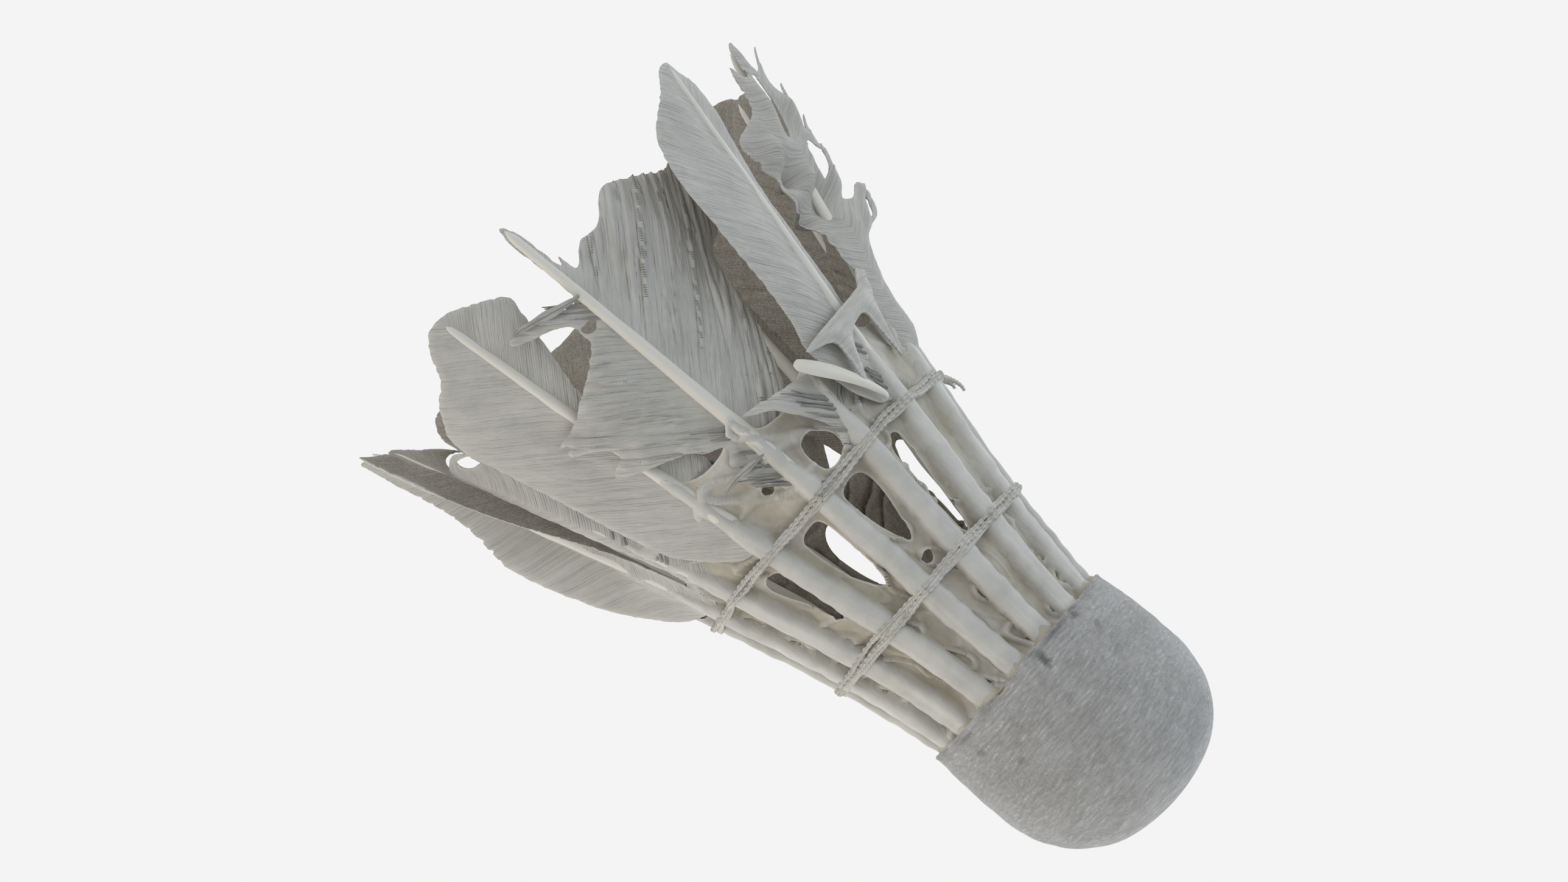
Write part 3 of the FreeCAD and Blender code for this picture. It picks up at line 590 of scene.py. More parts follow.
# ---- materials ----
class Nodes:
    """Short names for a material's nodes: each call makes a node and returns its first output."""

    def __init__(self, name):
        self.material = bpy.data.materials.new(name)
        self.material.use_nodes = True
        self.tree = self.material.node_tree
        self.tree.nodes.clear()
        self.shader = self.tree.nodes.new("ShaderNodeBsdfPrincipled")
        self.out = self.tree.nodes.new("ShaderNodeOutputMaterial")
        self.tree.links.new(self.shader.outputs[0], self.out.inputs[0])

    def feed(self, socket, value):
        if isinstance(value, bpy.types.NodeSocket):
            self.tree.links.new(value, socket)
        elif value is not None:
            socket.default_value = value

    def node(self, kind, output=0, **inputs):
        node = self.tree.nodes.new("ShaderNode" + kind)
        for key, value in inputs.items():
            if key[0].islower():
                setattr(node, key, value)
            else:
                self.feed(node.inputs[key.replace("_", " ")], value)
        return node.outputs[output]

    def place(self):
        return self.node("TexCoord", 3)

    def uv(self):
        return self.node("UVMap", uv_map="Barbs")

    def scaled(self, vector, scale):
        return self.node("Mapping", Vector=vector, Scale=scale)

    def noise(self, vector, scale, detail=3.0, rough=0.55, distortion=0.0):
        return self.node("TexNoise", Vector=vector, Scale=scale, Detail=detail, Roughness=rough,
                         Distortion=distortion)

    def spread(self, value, low, high, to_low=0.0, to_high=1.0):
        return self.node("MapRange", Value=value, From_Min=low, From_Max=high, To_Min=to_low, To_Max=to_high)

    def combine(self, a, b, operation="ADD"):
        node = self.tree.nodes.new("ShaderNodeMath")
        node.operation = operation
        self.feed(node.inputs[0], a)
        self.feed(node.inputs[1], b)
        return node.outputs[0]

    def mix(self, share, a, b):
        node = self.tree.nodes.new("ShaderNodeMix")
        node.data_type = "RGBA"
        self.feed(node.inputs[0], share)
        self.feed(node.inputs[6], a if isinstance(a, bpy.types.NodeSocket) else (*a, 1))
        self.feed(node.inputs[7], b if isinstance(b, bpy.types.NodeSocket) else (*b, 1))
        return node.outputs[2]

    def bump(self, height, distance, strength=1.0, under=None):
        return self.node("Bump", Height=height, Distance=distance, Strength=strength, Normal=under)

    def finish(self, colour, rough, normal=None, gloss=0.3, sheen=0.0):
        self.feed(self.shader.inputs["Base Color"], colour)
        self.shader.inputs["Sheen Weight"].default_value = sheen
        self.shader.inputs["Sheen Roughness"].default_value = 0.35
        self.feed(self.shader.inputs["Roughness"], rough)
        self.feed(self.shader.inputs["Specular IOR Level"], gloss)
        if normal is not None:
            self.feed(self.shader.inputs["Normal"], normal)
        return self.material


def scaled_colour(colour, factor):
    return tuple(min(c * factor, 1.0) for c in colour)


def leather_finish():
    """Grained skin: fine cells and creases, drifting dirt, a patchy band of painted shade round the rim and a
    few dark marks.
    """
    f = bpy.context.scene.shuttle_finish
    n = Nodes("worn_leather")
    at = n.place()
    drift = n.noise(at, 160, 5, 0.6)
    bands = n.noise(n.scaled(at, (1, 1, 5)), 130, 4, 0.6)
    colour = n.mix(n.spread(drift, 0.42, 0.68, 0.0, 0.50), f.leather, f.leather_dirt_and_shade)
    colour = n.mix(n.spread(bands, 0.48, 0.70, 0.0, 0.42), colour, f.leather_dirt_and_shade)
    spots = n.noise(at, 620, 4, 0.7)
    colour = n.mix(n.spread(spots, 0.46, 0.62, 0.0, 0.42), colour, f.leather_dirt_and_shade)
    specks = n.noise(at, 1500, 3, 0.65)
    colour = n.mix(n.spread(specks, 0.30, 0.70, 0.16, 0.0), colour, scaled_colour(f.leather_dirt_and_shade, 0.8))
    height = n.node("SeparateXYZ", 2, Vector=at)
    up = n.spread(height, FACE_HEIGHT, NOSE_HEIGHT)
    # painted shade: a patchy darker band along the bottom of the leather, under the lip where it meets the
    # skirt
    patches = n.noise(n.scaled(at, (1, 1, 0.4)), 420, 3)
    rim = n.combine(n.spread(up, 0.0, 0.045, 1.0, 0.0), n.spread(patches, 0.4, 0.6), "MULTIPLY")
    colour = n.mix(n.combine(rim, 0.6, "MULTIPLY"), colour, scaled_colour(f.leather_dirt_and_shade, 0.45))
    for x, above, wide, tall, strength in STAINS:
        y = -math.sqrt(max(BASE_RADIUS ** 2 - (x * MM) ** 2, 0.0))
        ragged = n.noise(at, 1300, 2)
        centred = n.node("VectorMath", operation="SUBTRACT", Vector=at)
        centred.node.inputs[1].default_value = (x * MM, y, FACE_HEIGHT + above * MM)
        shaped = n.node("VectorMath", operation="MULTIPLY", Vector=centred)
        shaped.node.inputs[1].default_value = (1 / (wide * MM), 0.25 / (wide * MM), 1 / (tall * MM))
        far = n.node("VectorMath", 1, operation="LENGTH", Vector=shaped)
        far = n.combine(far, n.spread(ragged, 0.3, 0.7, -0.45, 0.45))
        colour = n.mix(n.spread(far, 0.35, 1.15, strength, 0.0), colour, scaled_colour(f.leather_dirt_and_shade, 0.28))
    cells = n.node("TexVoronoi", Vector=n.scaled(at, (1, 1, 0.75)), Scale=2100, feature="DISTANCE_TO_EDGE")
    creases = n.noise(n.scaled(at, (1, 1, 3.0)), 900, 6, 0.7, 0.6)
    grain = n.bump(n.spread(cells, 0.0, 0.22), 0.00006, 0.55)
    grain = n.bump(creases, 0.00070, 1.0, grain)
    grain = n.bump(n.noise(at, 260, 3), 0.0006, 0.35, grain)
    return n.finish(colour, n.spread(drift, 0.3, 0.7, 0.46, 0.62), grain, 0.5, 0.7)


def vane_finish(name, base, dark, barb_bump, speckle=0.0):
    """Matted barbs: lines of even pitch along the barbs, uneven clumps, dirt, and pale torn edges."""
    n = Nodes(name)
    at = n.place()
    uv = n.uv()
    streaks = n.noise(n.scaled(uv, (1.5, 0.10, 1)), 1.0, 4, 0.6, 0.25)
    fine = n.noise(n.scaled(uv, (5.5, 0.16, 1)), 1.0, 3, 0.6, 0.2)
    barbs = n.node("TexWave", Vector=n.scaled(uv, (1, 0.02, 1)), Scale=1.02, Distortion=1.6, Detail=2.0,
                   Detail_Scale=1.4, wave_type="BANDS", bands_direction="X")
    mottle = n.noise(at, 190, 4, 0.6)
    colour = n.mix(n.spread(mottle, 0.40, 0.72, 0.0, 0.45), base, dark)
    colour = n.mix(n.spread(streaks, 0.48, 0.72, 0.0, 0.38), colour, dark)
    colour = n.mix(n.spread(fine, 0.30, 0.60, 0.22, 0.0), colour, scaled_colour(dark, 0.85))
    edge = n.node("Attribute", 2, attribute_name="edge")
    colour = n.mix(n.spread(edge, 0.0, 0.45, 0.28, 0.0), colour, scaled_colour(base, 1.25))
    if speckle:
        colour = n.mix(n.spread(n.noise(at, 3800, 2, 0.7), 0.35, 0.65, speckle, 0.0), colour,
                       scaled_colour(dark, 0.45))
    normal = n.bump(barbs, 0.00003, barb_bump)
    normal = n.bump(fine, 0.00016, barb_bump, normal)
    normal = n.bump(streaks, 0.00040, barb_bump * 0.9, normal)
    normal = n.bump(n.noise(at, 1400, 4, 0.65), 0.00008, 0.5, normal)
    return n.finish(colour, n.spread(streaks, 0.3, 0.7, 0.58, 0.76), normal, 0.35, 0.15)


def stem_finish():
    """Dull horn: lengthwise streaks, dirt in patches and shallow scratches along the stem."""
    f = bpy.context.scene.shuttle_finish
    n = Nodes("quill")
    at = n.place()
    uv = n.uv()
    lines = n.noise(n.scaled(uv, (2.6, 0.16, 1)), 1.0, 4, 0.6, 0.1)
    dirt = n.noise(at, 230, 4, 0.6)
    colour = n.mix(n.spread(dirt, 0.45, 0.75, 0.0, 0.5), f.stem, scaled_colour(f.glue, 0.8))
    colour = n.mix(n.spread(lines, 0.35, 0.65, 0.30, 0.0), colour, scaled_colour(f.stem, 0.62))
    normal = n.bump(lines, 0.00018, 0.7)
    normal = n.bump(n.noise(at, 900, 4, 0.6), 0.00012, 0.6, normal)
    return n.finish(colour, n.spread(dirt, 0.3, 0.7, 0.48, 0.68), normal, 0.35)


def thread_finish():
    """Glue-soaked twisted yarn: slanting fibres, uneven dirt and matt patches."""
    f = bpy.context.scene.shuttle_finish
    n = Nodes("binding_thread")
    at = n.place()
    uv = n.uv()
    fibres = n.node("TexWave", Vector=uv, Scale=1.6, Distortion=1.2, Detail=2.0, wave_type="BANDS",
                    bands_direction="DIAGONAL")
    dirt = n.noise(at, 420, 4, 0.6)
    colour = n.mix(n.spread(dirt, 0.45, 0.72, 0.0, 0.6), f.thread, scaled_colour(f.glue, 0.75))
    colour = n.mix(n.spread(fibres, 0.0, 0.5, 0.22, 0.0), colour, scaled_colour(f.thread, 0.6))
    normal = n.bump(fibres, 0.00005, 0.6)
    normal = n.bump(n.noise(at, 1300, 3, 0.6), 0.00010, 0.6, normal)
    return n.finish(colour, 0.72, normal, 0.25)


def glue_finish():
    """Dried glue: cloudy film, browner where thick, with soft runs down the stems and dull gloss."""
    f = bpy.context.scene.shuttle_finish
    n = Nodes("dried_glue")
    at = n.place()
    runs = n.noise(n.scaled(at, (1, 1, 0.22)), 420, 4, 0.6, 0.3)
    cloud = n.noise(at, 240, 4, 0.6)
    edge = n.node("Attribute", 2, attribute_name="edge")
    raised = n.node("Attribute", 2, attribute_name="raised")
    colour = n.mix(n.spread(cloud, 0.40, 0.70, 0.0, 0.7), f.glue, scaled_colour(f.glue, 0.62))
    colour = n.mix(n.spread(runs, 0.50, 0.66, 0.0, 0.6), colour, f.vane)
    coat = n.mix(n.spread(cloud, 0.42, 0.70, 0.0, 0.5), f.vane, scaled_colour(f.vane, 0.72))
    colour = n.mix(n.spread(raised, 0.15, 0.75), colour, coat)
    colour = n.mix(n.spread(edge, 0.0, 0.30, 0.6, 0.0), colour, scaled_colour(f.thread, 1.3))
    normal = n.bump(runs, 0.00035, 0.6)
    normal = n.bump(n.noise(at, 1100, 4, 0.6), 0.00010, 0.6, normal)
    return n.finish(colour, n.spread(cloud, 0.3, 0.7, 0.42, 0.66), normal, 0.4)


def cork_finish():
    """Granulated cork: cells of different browns with dark gaps, and glue smeared over the face."""
    f = bpy.context.scene.shuttle_finish
    n = Nodes("cork_grain")
    at = n.place()
    grains = n.node("TexVoronoi", 1, Vector=at, Scale=900)
    tone = n.node("SeparateColor", 0, Color=grains)
    gaps = n.node("TexVoronoi", Vector=at, Scale=900, feature="DISTANCE_TO_EDGE")
    colour = n.mix(n.spread(tone, 0.0, 1.0, 0.0, 0.6), f.cork, scaled_colour(f.cork, 1.7))
    colour = n.mix(n.spread(gaps, 0.0, 0.12, 0.8, 0.0), colour, scaled_colour(f.cork, 0.4))
    colour = n.mix(n.spread(n.noise(at, 500, 4), 0.42, 0.60, 0.2, 0.8), colour, scaled_colour(f.glue, 0.6))
    normal = n.bump(gaps, 0.0003, 0.5)
    return n.finish(colour, 0.85, n.bump(n.noise(at, 1200, 3), 0.0001, 0.5, normal), 0.2)


def finish_named(name):
    """The material of that name, made the first time it is asked for."""
    f = bpy.context.scene.shuttle_finish
    makers = {
        "worn_leather": leather_finish, "quill": stem_finish, "binding_thread": thread_finish,
        "dried_glue": glue_finish, "cork_grain": cork_finish,
        "vane_outside": lambda: vane_finish("vane_outside", f.vane, f.vane_dark, 0.75),
        # inner faces of vanes and films: a darker copy of the vane finish, partly painted shade
        "vane_inside_shaded": lambda: vane_finish("vane_inside_shaded", f.inside, scaled_colour(f.inside, 0.6), 0.5, 0.5),
    }
    return bpy.data.materials.get(name) or makers[name]()


def dress(piece, slot, *finishes):
    for name in finishes:
        piece.data.materials.append(finish_named(name))


# ---- pieces ----
class Maker(bpy.types.Operator):
    """Common ground of the shuttlecock's operators."""
    bl_options = {"REGISTER", "UNDO"}

    def execute(self, context):
        self.build(context.scene)
        return {"FINISHED"}


class SHUTTLE_OT_leather(Maker):
    """Leather cover: a profile of wall, shoulder and nose turned round the axis, swollen and dented"""
    bl_idname = "shuttle.leather"
    bl_label = "Leather cover"

    def build(self, scene):
        b = scene.shuttle_base
        centre = BASE_RADIUS - b.shoulder
        reach = b.nose - b.shoulder
        low = b.wall - math.sqrt(reach ** 2 - centre ** 2)
        join = math.asin(centre / reach)
        wall = np.linspace(0, b.wall, 60, endpoint=False)
        lip = np.linspace(-0.5 * math.pi, 0, 7, endpoint=False)
        bend = np.linspace(0, math.pi / 2 - join, 60, endpoint=False)
        cap = np.linspace(join, 0.02, 34)
        lip_size = b.cover * 0.5
        radius = np.concatenate([BASE_RADIUS - lip_size + lip_size * np.cos(lip), np.full(60, BASE_RADIUS),
                                 centre + b.shoulder * np.cos(bend), b.nose * np.sin(cap)])
        height = np.concatenate([lip_size * np.sin(lip), wall, b.wall + b.shoulder * np.sin(bend),
                                 low + b.nose * np.cos(cap)])
        inner_radius = np.maximum(radius[::-1] - b.cover * np.linspace(0.15, 1.0, len(radius)), 1e-4)
        inner_height = np.maximum(height[::-1] - b.cover * np.linspace(1.0, 0.0, len(radius)), 0.0)
        count = len(radius)
        radius = np.concatenate([radius, inner_radius])
        height = np.concatenate([height, inner_height])
        turn = np.linspace(0, 2 * math.pi, b.columns, endpoint=False)
        r, t = np.meshgrid(radius, turn, indexing="ij")
        h = np.repeat(height[:, None], b.columns, 1)
        x, y, z = r * np.cos(t) / MM, r * np.sin(t) / MM, h / MM
        share = np.clip(r / BASE_RADIUS, 0, 1)
        swell = b.bulge * np.sin(np.clip(h / 0.0135, 0, 1) * math.pi) * share
        dents = 0.06 * wander(3, x / 5, y / 5, z / 5) + 0.030 * wander(4, x / 1.6, y / 1.6, z / 0.9)
        creases = 0.024 * (1 - np.abs(wander(5, x / 1.1, y / 1.1, z / 0.45, waves=9)))
        rim = np.exp(-np.abs(z) / 0.45)
        lip_wave = rim * (0.10 + 0.09 * wander(6, x / 0.8, y / 0.8))
        push = swell + (dents + creases + lip_wave) * MM * share ** 0.4
        push[count:] = swell[count:]
        h = h + rim * 0.10 * MM * wander(7, x / 1.2, y / 1.2)
        draw_in = b.draw_in * np.exp(-np.maximum(z, 0) / 2.2) * share
        r = r + push * np.clip(share * 1.5, 0, 1) - draw_in
        skew = b.skew * np.maximum(z, 0) * MM
        points = np.stack([r * np.cos(t) - skew, r * np.sin(t), FACE_HEIGHT + h], -1).reshape(-1, 3)
        rows, columns = r.shape
        quads = ring_quads(rows, columns)[np.arange(rows) != count - 1].reshape(-1, 4)
        outer, inner = (count - 1) * columns, count * columns
        tops = np.array([[0, 0, points[outer, 2]], [0, 0, points[inner, 2]]])
        ring = np.arange(columns)
        onward = (ring + 1) % columns
        outer_cap = np.stack([outer + ring, outer + onward, np.full(columns, len(points))], -1)
        inner_cap = np.stack([inner + onward, inner + ring, np.full(columns, len(points) + 1)], -1)
        points = np.concatenate([points, tops])
        piece = make_piece("leather_skin", points, quads, np.concatenate([outer_cap, inner_cap]))
        dress(piece, "leather", "worn_leather")
        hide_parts("leather_cover")


class SHUTTLE_OT_cork(Maker):
    """Cork: the CAD disc and nose keep their shape and take a granulated finish"""
    bl_idname = "shuttle.cork"
    bl_label = "Cork"

    def build(self, scene):
        for name in ("cork_disc", "cork_nose"):
            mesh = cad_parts[name].data
            mesh.materials.clear()
            mesh.materials.append(finish_named("cork_grain"))


class SHUTTLE_OT_stems(Maker):
    """Stems: an oval, grooved section carried down each stem's line, tapering, with barb stubs"""
    bl_idname = "shuttle.stems"
    bl_label = "Stems"

    def build(self, scene):
        s = scene.shuttle_skirt
        binding = scene.shuttle_binding
        around = section_turns(22)
        for index, state in enumerate(FEATHERS):
            end = min(state["reach"] * MM, s.feather_length) - 0.1 * MM
            drop = np.arange(-s.quill_depth, end, 0.3 * MM)
            path = place(ring_radius(drop), feather_turn(index, drop), drop)
            along = drop[:, None] / MM
            bound = smooth_step((drop - binding.coat_end) / (6 * MM))
            width = (stem_radius(drop) * (0.82 + 0.18 * bound))[:, None]
            close = smooth_step((end - drop) / (1.6 * MM))[:, None] ** 0.6
            rough = 1 + 0.035 * wander(20 + index, along / 1.5, 2 * np.cos(around), 2 * np.sin(around))
            oval = 1 - 0.06 * np.cos(2 * around) + 0.03 * np.cos(4 * around)
            groove = 1 - 0.10 * np.exp(-((around - math.pi) / 0.45) ** 2)
            stub = (np.maximum(np.sin(2 * math.pi * (along / 0.85 + 0.2 * wander(40 + index, along / 3))), 0)
                    * np.exp(-((np.abs(around - math.pi) - math.pi / 2) / 0.55) ** 2)
                    * smooth_step(along / 2.0) * smooth_step((26 - along) / 2.0) * state["stubs"] * 0.22 * MM)
            size = width * rough * oval * groove * np.maximum(close, 0.04) + stub
            points, quads, tris = swept(path, around, size)
            uv = tube_uv(around * 1.3, along)
            piece = make_piece(f"feather_stem_{index + 1:02d}", points, quads, tris, uv)
            dress(piece, "quill", "quill")
            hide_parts(f"stem_{index + 1:02d}")


def vane_lift(index, state, u, v):
    """Height of a vane over its plain surface: curl, dents, barb clumps and slow waves, in metres."""
    across, drop = u / MM, v / MM
    slant = skirt().barb_slant
    root = drop - slant * np.abs(across)
    left, right = state["curl"]
    height = np.where(across < 0, left, right) * (across / 10) ** 2
    for a, d, wide, tall, depth in state["dents"]:
        height = height + depth * np.exp(-((across - a) / wide) ** 2 - ((drop - d) / tall) ** 2)
    side = np.where(across < 0, 0.37, 0.0)
    warp = 0.45 * wander(60 + index, root / 5, across / 9)
    phase = root / state["pitch"] + warp + side
    crest = 1 - np.abs(np.sin(math.pi * phase))
    second = 1 - np.abs(np.sin(math.pi * (phase * 2.3 + 0.4)))
    strength = np.clip(0.65 + 0.5 * wander(80 + index, root / 3.5, across / 6), 0.1, 1.5)
    grown = smooth_step((np.abs(across) - 0.4) / 4.0)
    height = height + state["clump"] * grown * strength * (0.75 * crest + 0.25 * second)
    height = height + 0.14 * wander(100 + index, across / 4, drop / 6) * grown
    for scale, share in ((1.9, 1.0), (0.9, 0.5)):
        line = 1 - 3.2 * np.abs(wander(180 + index, root / scale, across / (7 * scale)))
        height = height + state["cords"] * share * grown * smooth_step(line)
    height = height + state["lift"] * smooth_step((drop - 27) / 5)
    climb = 0.35 * np.exp(-(across / (stem_radius(v) / MM + 0.25)) ** 2)
    return height * MM - state["sink"] * MM + climb * stem_radius(v)


class SHUTTLE_OT_vanes(Maker):
    """Vanes: a flat grid trimmed to each feather's outline, wound round the skirt and given relief"""
    bl_idname = "shuttle.vanes"
    bl_label = "Vanes"

    def build(self, scene):
        s = scene.shuttle_skirt
        for index, state in enumerate(FEATHERS):
            outline = np.array(state["outline"]) * MM
            holes = [np.array(hole) * MM for hole in state["holes"]]

            def fray(u, v, index=index, amount=state["fray"]):
                root = (v - s.barb_slant * np.abs(u)) / MM
                return amount * MM * np.clip(0.35 + wander(120 + index, root / 0.35, u / MM / 8), 0, 2)

            u, v, depth, quads = cut_sheet(outline, holes, s.near_grid if state["fine"] else s.far_grid, fray)
            middle = vane_point(index, u, v, vane_lift(index, state, u, v))
            edge = smooth_step(depth / (0.7 * MM))
            thick = s.vane_thickness * (0.30 + 0.70 * edge) * (1 + 0.2 * wander(140 + index, u / MM, v / MM))
            uv = np.stack([v - s.barb_slant * np.abs(u), u], -1) / MM
            piece = make_sheet(f"feather_vane_{index + 1:02d}", middle, quads, thick, uv, depth)
            dress(piece, "vane", "vane_outside", "vane_inside_shaded")
            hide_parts(f"vane_{index + 1:02d}")


class SHUTTLE_OT_tufts(Maker):
    """Tufts: single barbs torn from their vanes, thin tapered tubes that leave the surface at their ends"""
    bl_idname = "shuttle.tufts"
    bl_label = "Tufts"

    def build(self, scene):
        s = scene.shuttle_skirt
        around = section_turns(7)
        t = np.linspace(0, 1, 16)
        for number in range(FEATHER_COUNT):
            rows = [row for row in TUFTS if row[0] == number]
            if not rows:
                continue
            rng = np.random.default_rng(400 + number)
            parts, uvs = [], []
            for index, side, first, last, count, reach, raise_end in rows:
                for root in np.sort(rng.uniform(first, last, count)):
                    size, bend, away, width = rng.uniform((0.5, -0.5, 0.2, 0.19), (1.1, 0.5, 1.0, 0.32))
                    run = reach * size * t
                    across = side * (0.3 + run * 0.70 + bend * t * t)
                    drop = root + run * 0.70 * s.barb_slant + bend * 0.8 * t * t
                    base = vane_lift(index, FEATHERS[index], across * MM, drop * MM)
                    lift = base + (0.16 + raise_end * away * t ** 2.2) * MM
                    path = vane_point(index, across * MM, drop * MM, lift)
                    knobs = 1 + 0.12 * np.sin(9 * t + bend * 9)
                    thick = width * MM * (1 - 0.75 * t)[:, None] * knobs[:, None]
                    parts.append(swept(path, around, thick))
                    uvs.append(tube_uv(around, run[:, None]))
            points, quads, tris = joined(parts)
            piece = make_piece(f"loose_barbs_{number + 1:02d}", points, quads, tris, np.concatenate(uvs),
                               np.ones(len(points)))
            dress(piece, "vane", "vane_outside")


class SHUTTLE_OT_torn_web(Maker):
    """Torn web: a thin star-shaped scrap of matted barbs that bridges two broken feathers"""
    bl_idname = "shuttle.torn_web"
    bl_label = "Torn web"

    def build(self, scene):
        s = scene.shuttle_skirt
        u, v, depth, quads = cut_sheet(np.array(TORN_WEB) * MM, [], s.near_grid * 0.9)
        across, drop = u / MM, v / MM
        lift = 1.5 + 0.12 * np.clip(across, 0, None) + 0.35 * np.exp(-((drop - 37.2) / 0.8) ** 2)
        lift = lift + 0.15 * wander(160, across / 2, drop / 2) + 0.5 * smooth_step(depth / MM / 1.2)
        middle = vane_point(2, u, v, lift * MM)
        thick = 0.00022 + 0.00025 * smooth_step(depth / MM / 0.8)
        piece = make_sheet("torn_web", middle, quads, thick, np.stack([drop, across], -1), depth)
        dress(piece, "vane", "vane_outside", "vane_inside_shaded")


def film_point(u, drop, lift):
    """Glue film round the skirt, two units of u to a gap: a sunken sheet and a coat on each stem.

    The sheet runs straight from stem to stem, a little below them. The coat is a superellipse over
    the stem. The higher of the two is taken, with the corner rounded. Also gives how far each point
    stands out, as a share of the coat's height.
    """
    b = bpy.context.scene.shuttle_binding
    gap = np.floor(u / 2).astype(int)
    first = feather_turn(gap, drop)
    last = feather_turn(gap + 1, drop)
    turn = first + (u / 2 - gap) * (last - first)
    ring = ring_radius(drop)
    along = drop / MM
    ragged = MM * (0.05 * wander(210, u * 5.0, along / 0.5) + 0.06 * wander(211, u * 2, along / 1.8))
    near = np.minimum(turn - first, last - turn) * ring
    fade = smooth_step((drop - b.coat_end) / (6 * MM))
    coat = stem_radius(drop) * (1.02 - 0.24 * fade) + b.coat * (1 - fade)
    wide = coat * 0.87 + ragged * smooth_step(near / coat / 0.6)
    share = np.clip(near / np.maximum(wide, 0.2 * MM), 0, 1)
    dome = coat * (1 - share ** 3) ** (1 / 3) - np.maximum(near - wide, 0) * 3
    dome = dome + 0.030 * MM * wander(231, 34 * np.cos(turn), 34 * np.sin(turn), along / 14)
    dome = dome + 0.045 * MM * wander(230, 9 * np.cos(turn), 9 * np.sin(turn), along / 0.9)
    half = (last - first) / 2
    sheet = ring * np.cos(half) / np.cos(turn - (first + last) / 2) + b.web_level
    ripple = 0.15 * wander(200, u * 1.4, along / 1.4) * MM
    strings = 0.62 * MM * np.maximum(1 - np.abs(wander(215, u * 2.2, along / 1.6)) * 3.5, 0)
    strings = strings + 0.22 * MM * np.maximum(1 - np.abs(wander(216, u * 4.4, along / 3.2)) * 3, 0)
    radius = smooth_max(ring + dome, sheet + ripple + strings + lift, b.fillet)
    raised = np.clip((radius - sheet) / (ring + coat - sheet), 0, 1)
    return place(radius, turn, drop), raised


def film_piece(name, replaced, low, top, holes, flare):
    """The film of one band, cut from a single sheet that meets itself on a stem at the back.

    top(gap) lists its lower edge as (across, drop); flare(drop) adds height, as near the cork.
    """
    b = bpy.context.scene.shuttle_binding
    start = FEATHER_COUNT // 2
    gaps = range(start, start + FEATHER_COUNT)
    upper = [(2 * gap + k / 2, low) for gap in gaps for k in range(4)] + [(2 * (start + FEATHER_COUNT), low)]
    lower = [(2 * gap + 1 + across, drop) for gap in gaps for across, drop in top(gap % FEATHER_COUNT)]
    outline = np.array(upper + lower[::-1]) * (1, MM)
    cuts = []
    for gap, hole in holes:
        gap = gap if gap >= start else gap + FEATHER_COUNT
        cuts.append((np.array(hole) + (2 * gap + 1, 0)) * (1, MM))
    u, v, depth, quads = cut_sheet(outline, cuts, 0.27 * MM, None, 4.6 * MM)
    middle, raised = film_point(u, v, flare(v))
    edge = smooth_step(depth / (0.5 * MM))
    thick = b.film * (0.35 + 0.65 * edge)
    piece = make_sheet(name, middle, quads, thick, np.stack([u * 2.6, v / MM], -1), depth, raised)
    # the film's back face takes the inner vane finish, which is partly painted shade
    dress(piece, "glue", "dried_glue", "vane_inside_shaded")
    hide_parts(replaced)


class SHUTTLE_OT_glue(Maker):
    """Glue: films from stem to stem with torn windows, and a bead round each quill at the cork"""
    bl_idname = "shuttle.glue"
    bl_label = "Glue"

    def build(self, scene):
        s = scene.shuttle_skirt
        lower = LOWER_DROP / MM
        upper = s.upper_drop / MM

        def straight_edge(gap):
            return [(-1 + k / 2, lower) for k in range(4)] + ([(1, lower)] if gap == last else [])

        def climbing_edge(gap):
            rise = FILM_RISE.get(gap, 2.6 + 1.2 * (gap % 3))
            sag = 0.45 if gap not in FILM_RISE else 0.85
            before = FILM_RISE.get((gap - 1) % FEATHER_COUNT, 2.6 + 1.2 * ((gap - 1) % 3))
            shoulder = upper + max(rise, before)
            edge = [(-1, shoulder), (-0.76, upper + rise * (sag + 1) / 2), (-0.3, upper + rise * sag),
                    (0.3, upper + rise * sag), (0.72, upper + rise * (sag + 1) / 2)]
            return edge + ([(1, shoulder)] if gap == last else [])

        last = FEATHER_COUNT // 2 - 1
        film_piece("glue_film_lower", "lower_glue_film", 0.05, straight_edge, (),
                   lambda v: 0.9 * MM * np.exp(-v / (0.9 * MM)))
        film_piece("glue_film_upper", "upper_glue_film", lower, climbing_edge, WINDOWS,
                   lambda v: 0.25 * MM * smooth_step((v - s.upper_drop) / (2 * MM)))
        self.beads(s)

    def beads(self, s):
        """Collars: a hollow curve from the quill out to the cork face, turned round each stem."""
        sides, steps = 36, 14
        around = np.linspace(0, 2 * math.pi, sides, endpoint=False)
        fall = np.linspace(0, 1, steps)
        quads = ring_quads(2 * steps, sides).reshape(-1, 4)
        parts = []
        for index in range(FEATHER_COUNT):
            drop = (1.9 * (1 - fall) + 0.02) * MM
            spread = 0.62 * MM * fall ** 2.6
            drop = np.concatenate([drop, drop[::-1]])
            size = np.concatenate([stem_radius(drop[:steps]) + spread + 0.03 * MM,
                                   stem_radius(drop[steps:]) * 0.9])
            centre = place(ring_radius(drop), feather_turn(index, drop), drop)
            lumps = 1 + 0.06 * wander(220 + index, 2 * np.cos(around)[None, :], 2 * np.sin(around)[None, :],
                                      drop[:, None] / MM)
            r = size[:, None] * lumps
            x = centre[:, None, 0] + r * np.cos(around)
            y = centre[:, None, 1] + r * np.sin(around)
            z = np.repeat(centre[:, None, 2], sides, 1)
            rim = (BASE_RADIUS - 0.5 * MM) / np.maximum(np.hypot(x, y), 1e-9)
            inside = np.minimum(rim, 1.0)
            points = np.stack([x * inside, y * inside, z], -1).reshape(-1, 3)
            parts.append((points, quads, None))
        points, quads, _ = joined(parts)
        piece = make_piece("quill_glue_collars", points, quads, None, None, np.ones(len(points)))
        dress(piece, "glue", "dried_glue")
        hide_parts("stem_glue_beads")


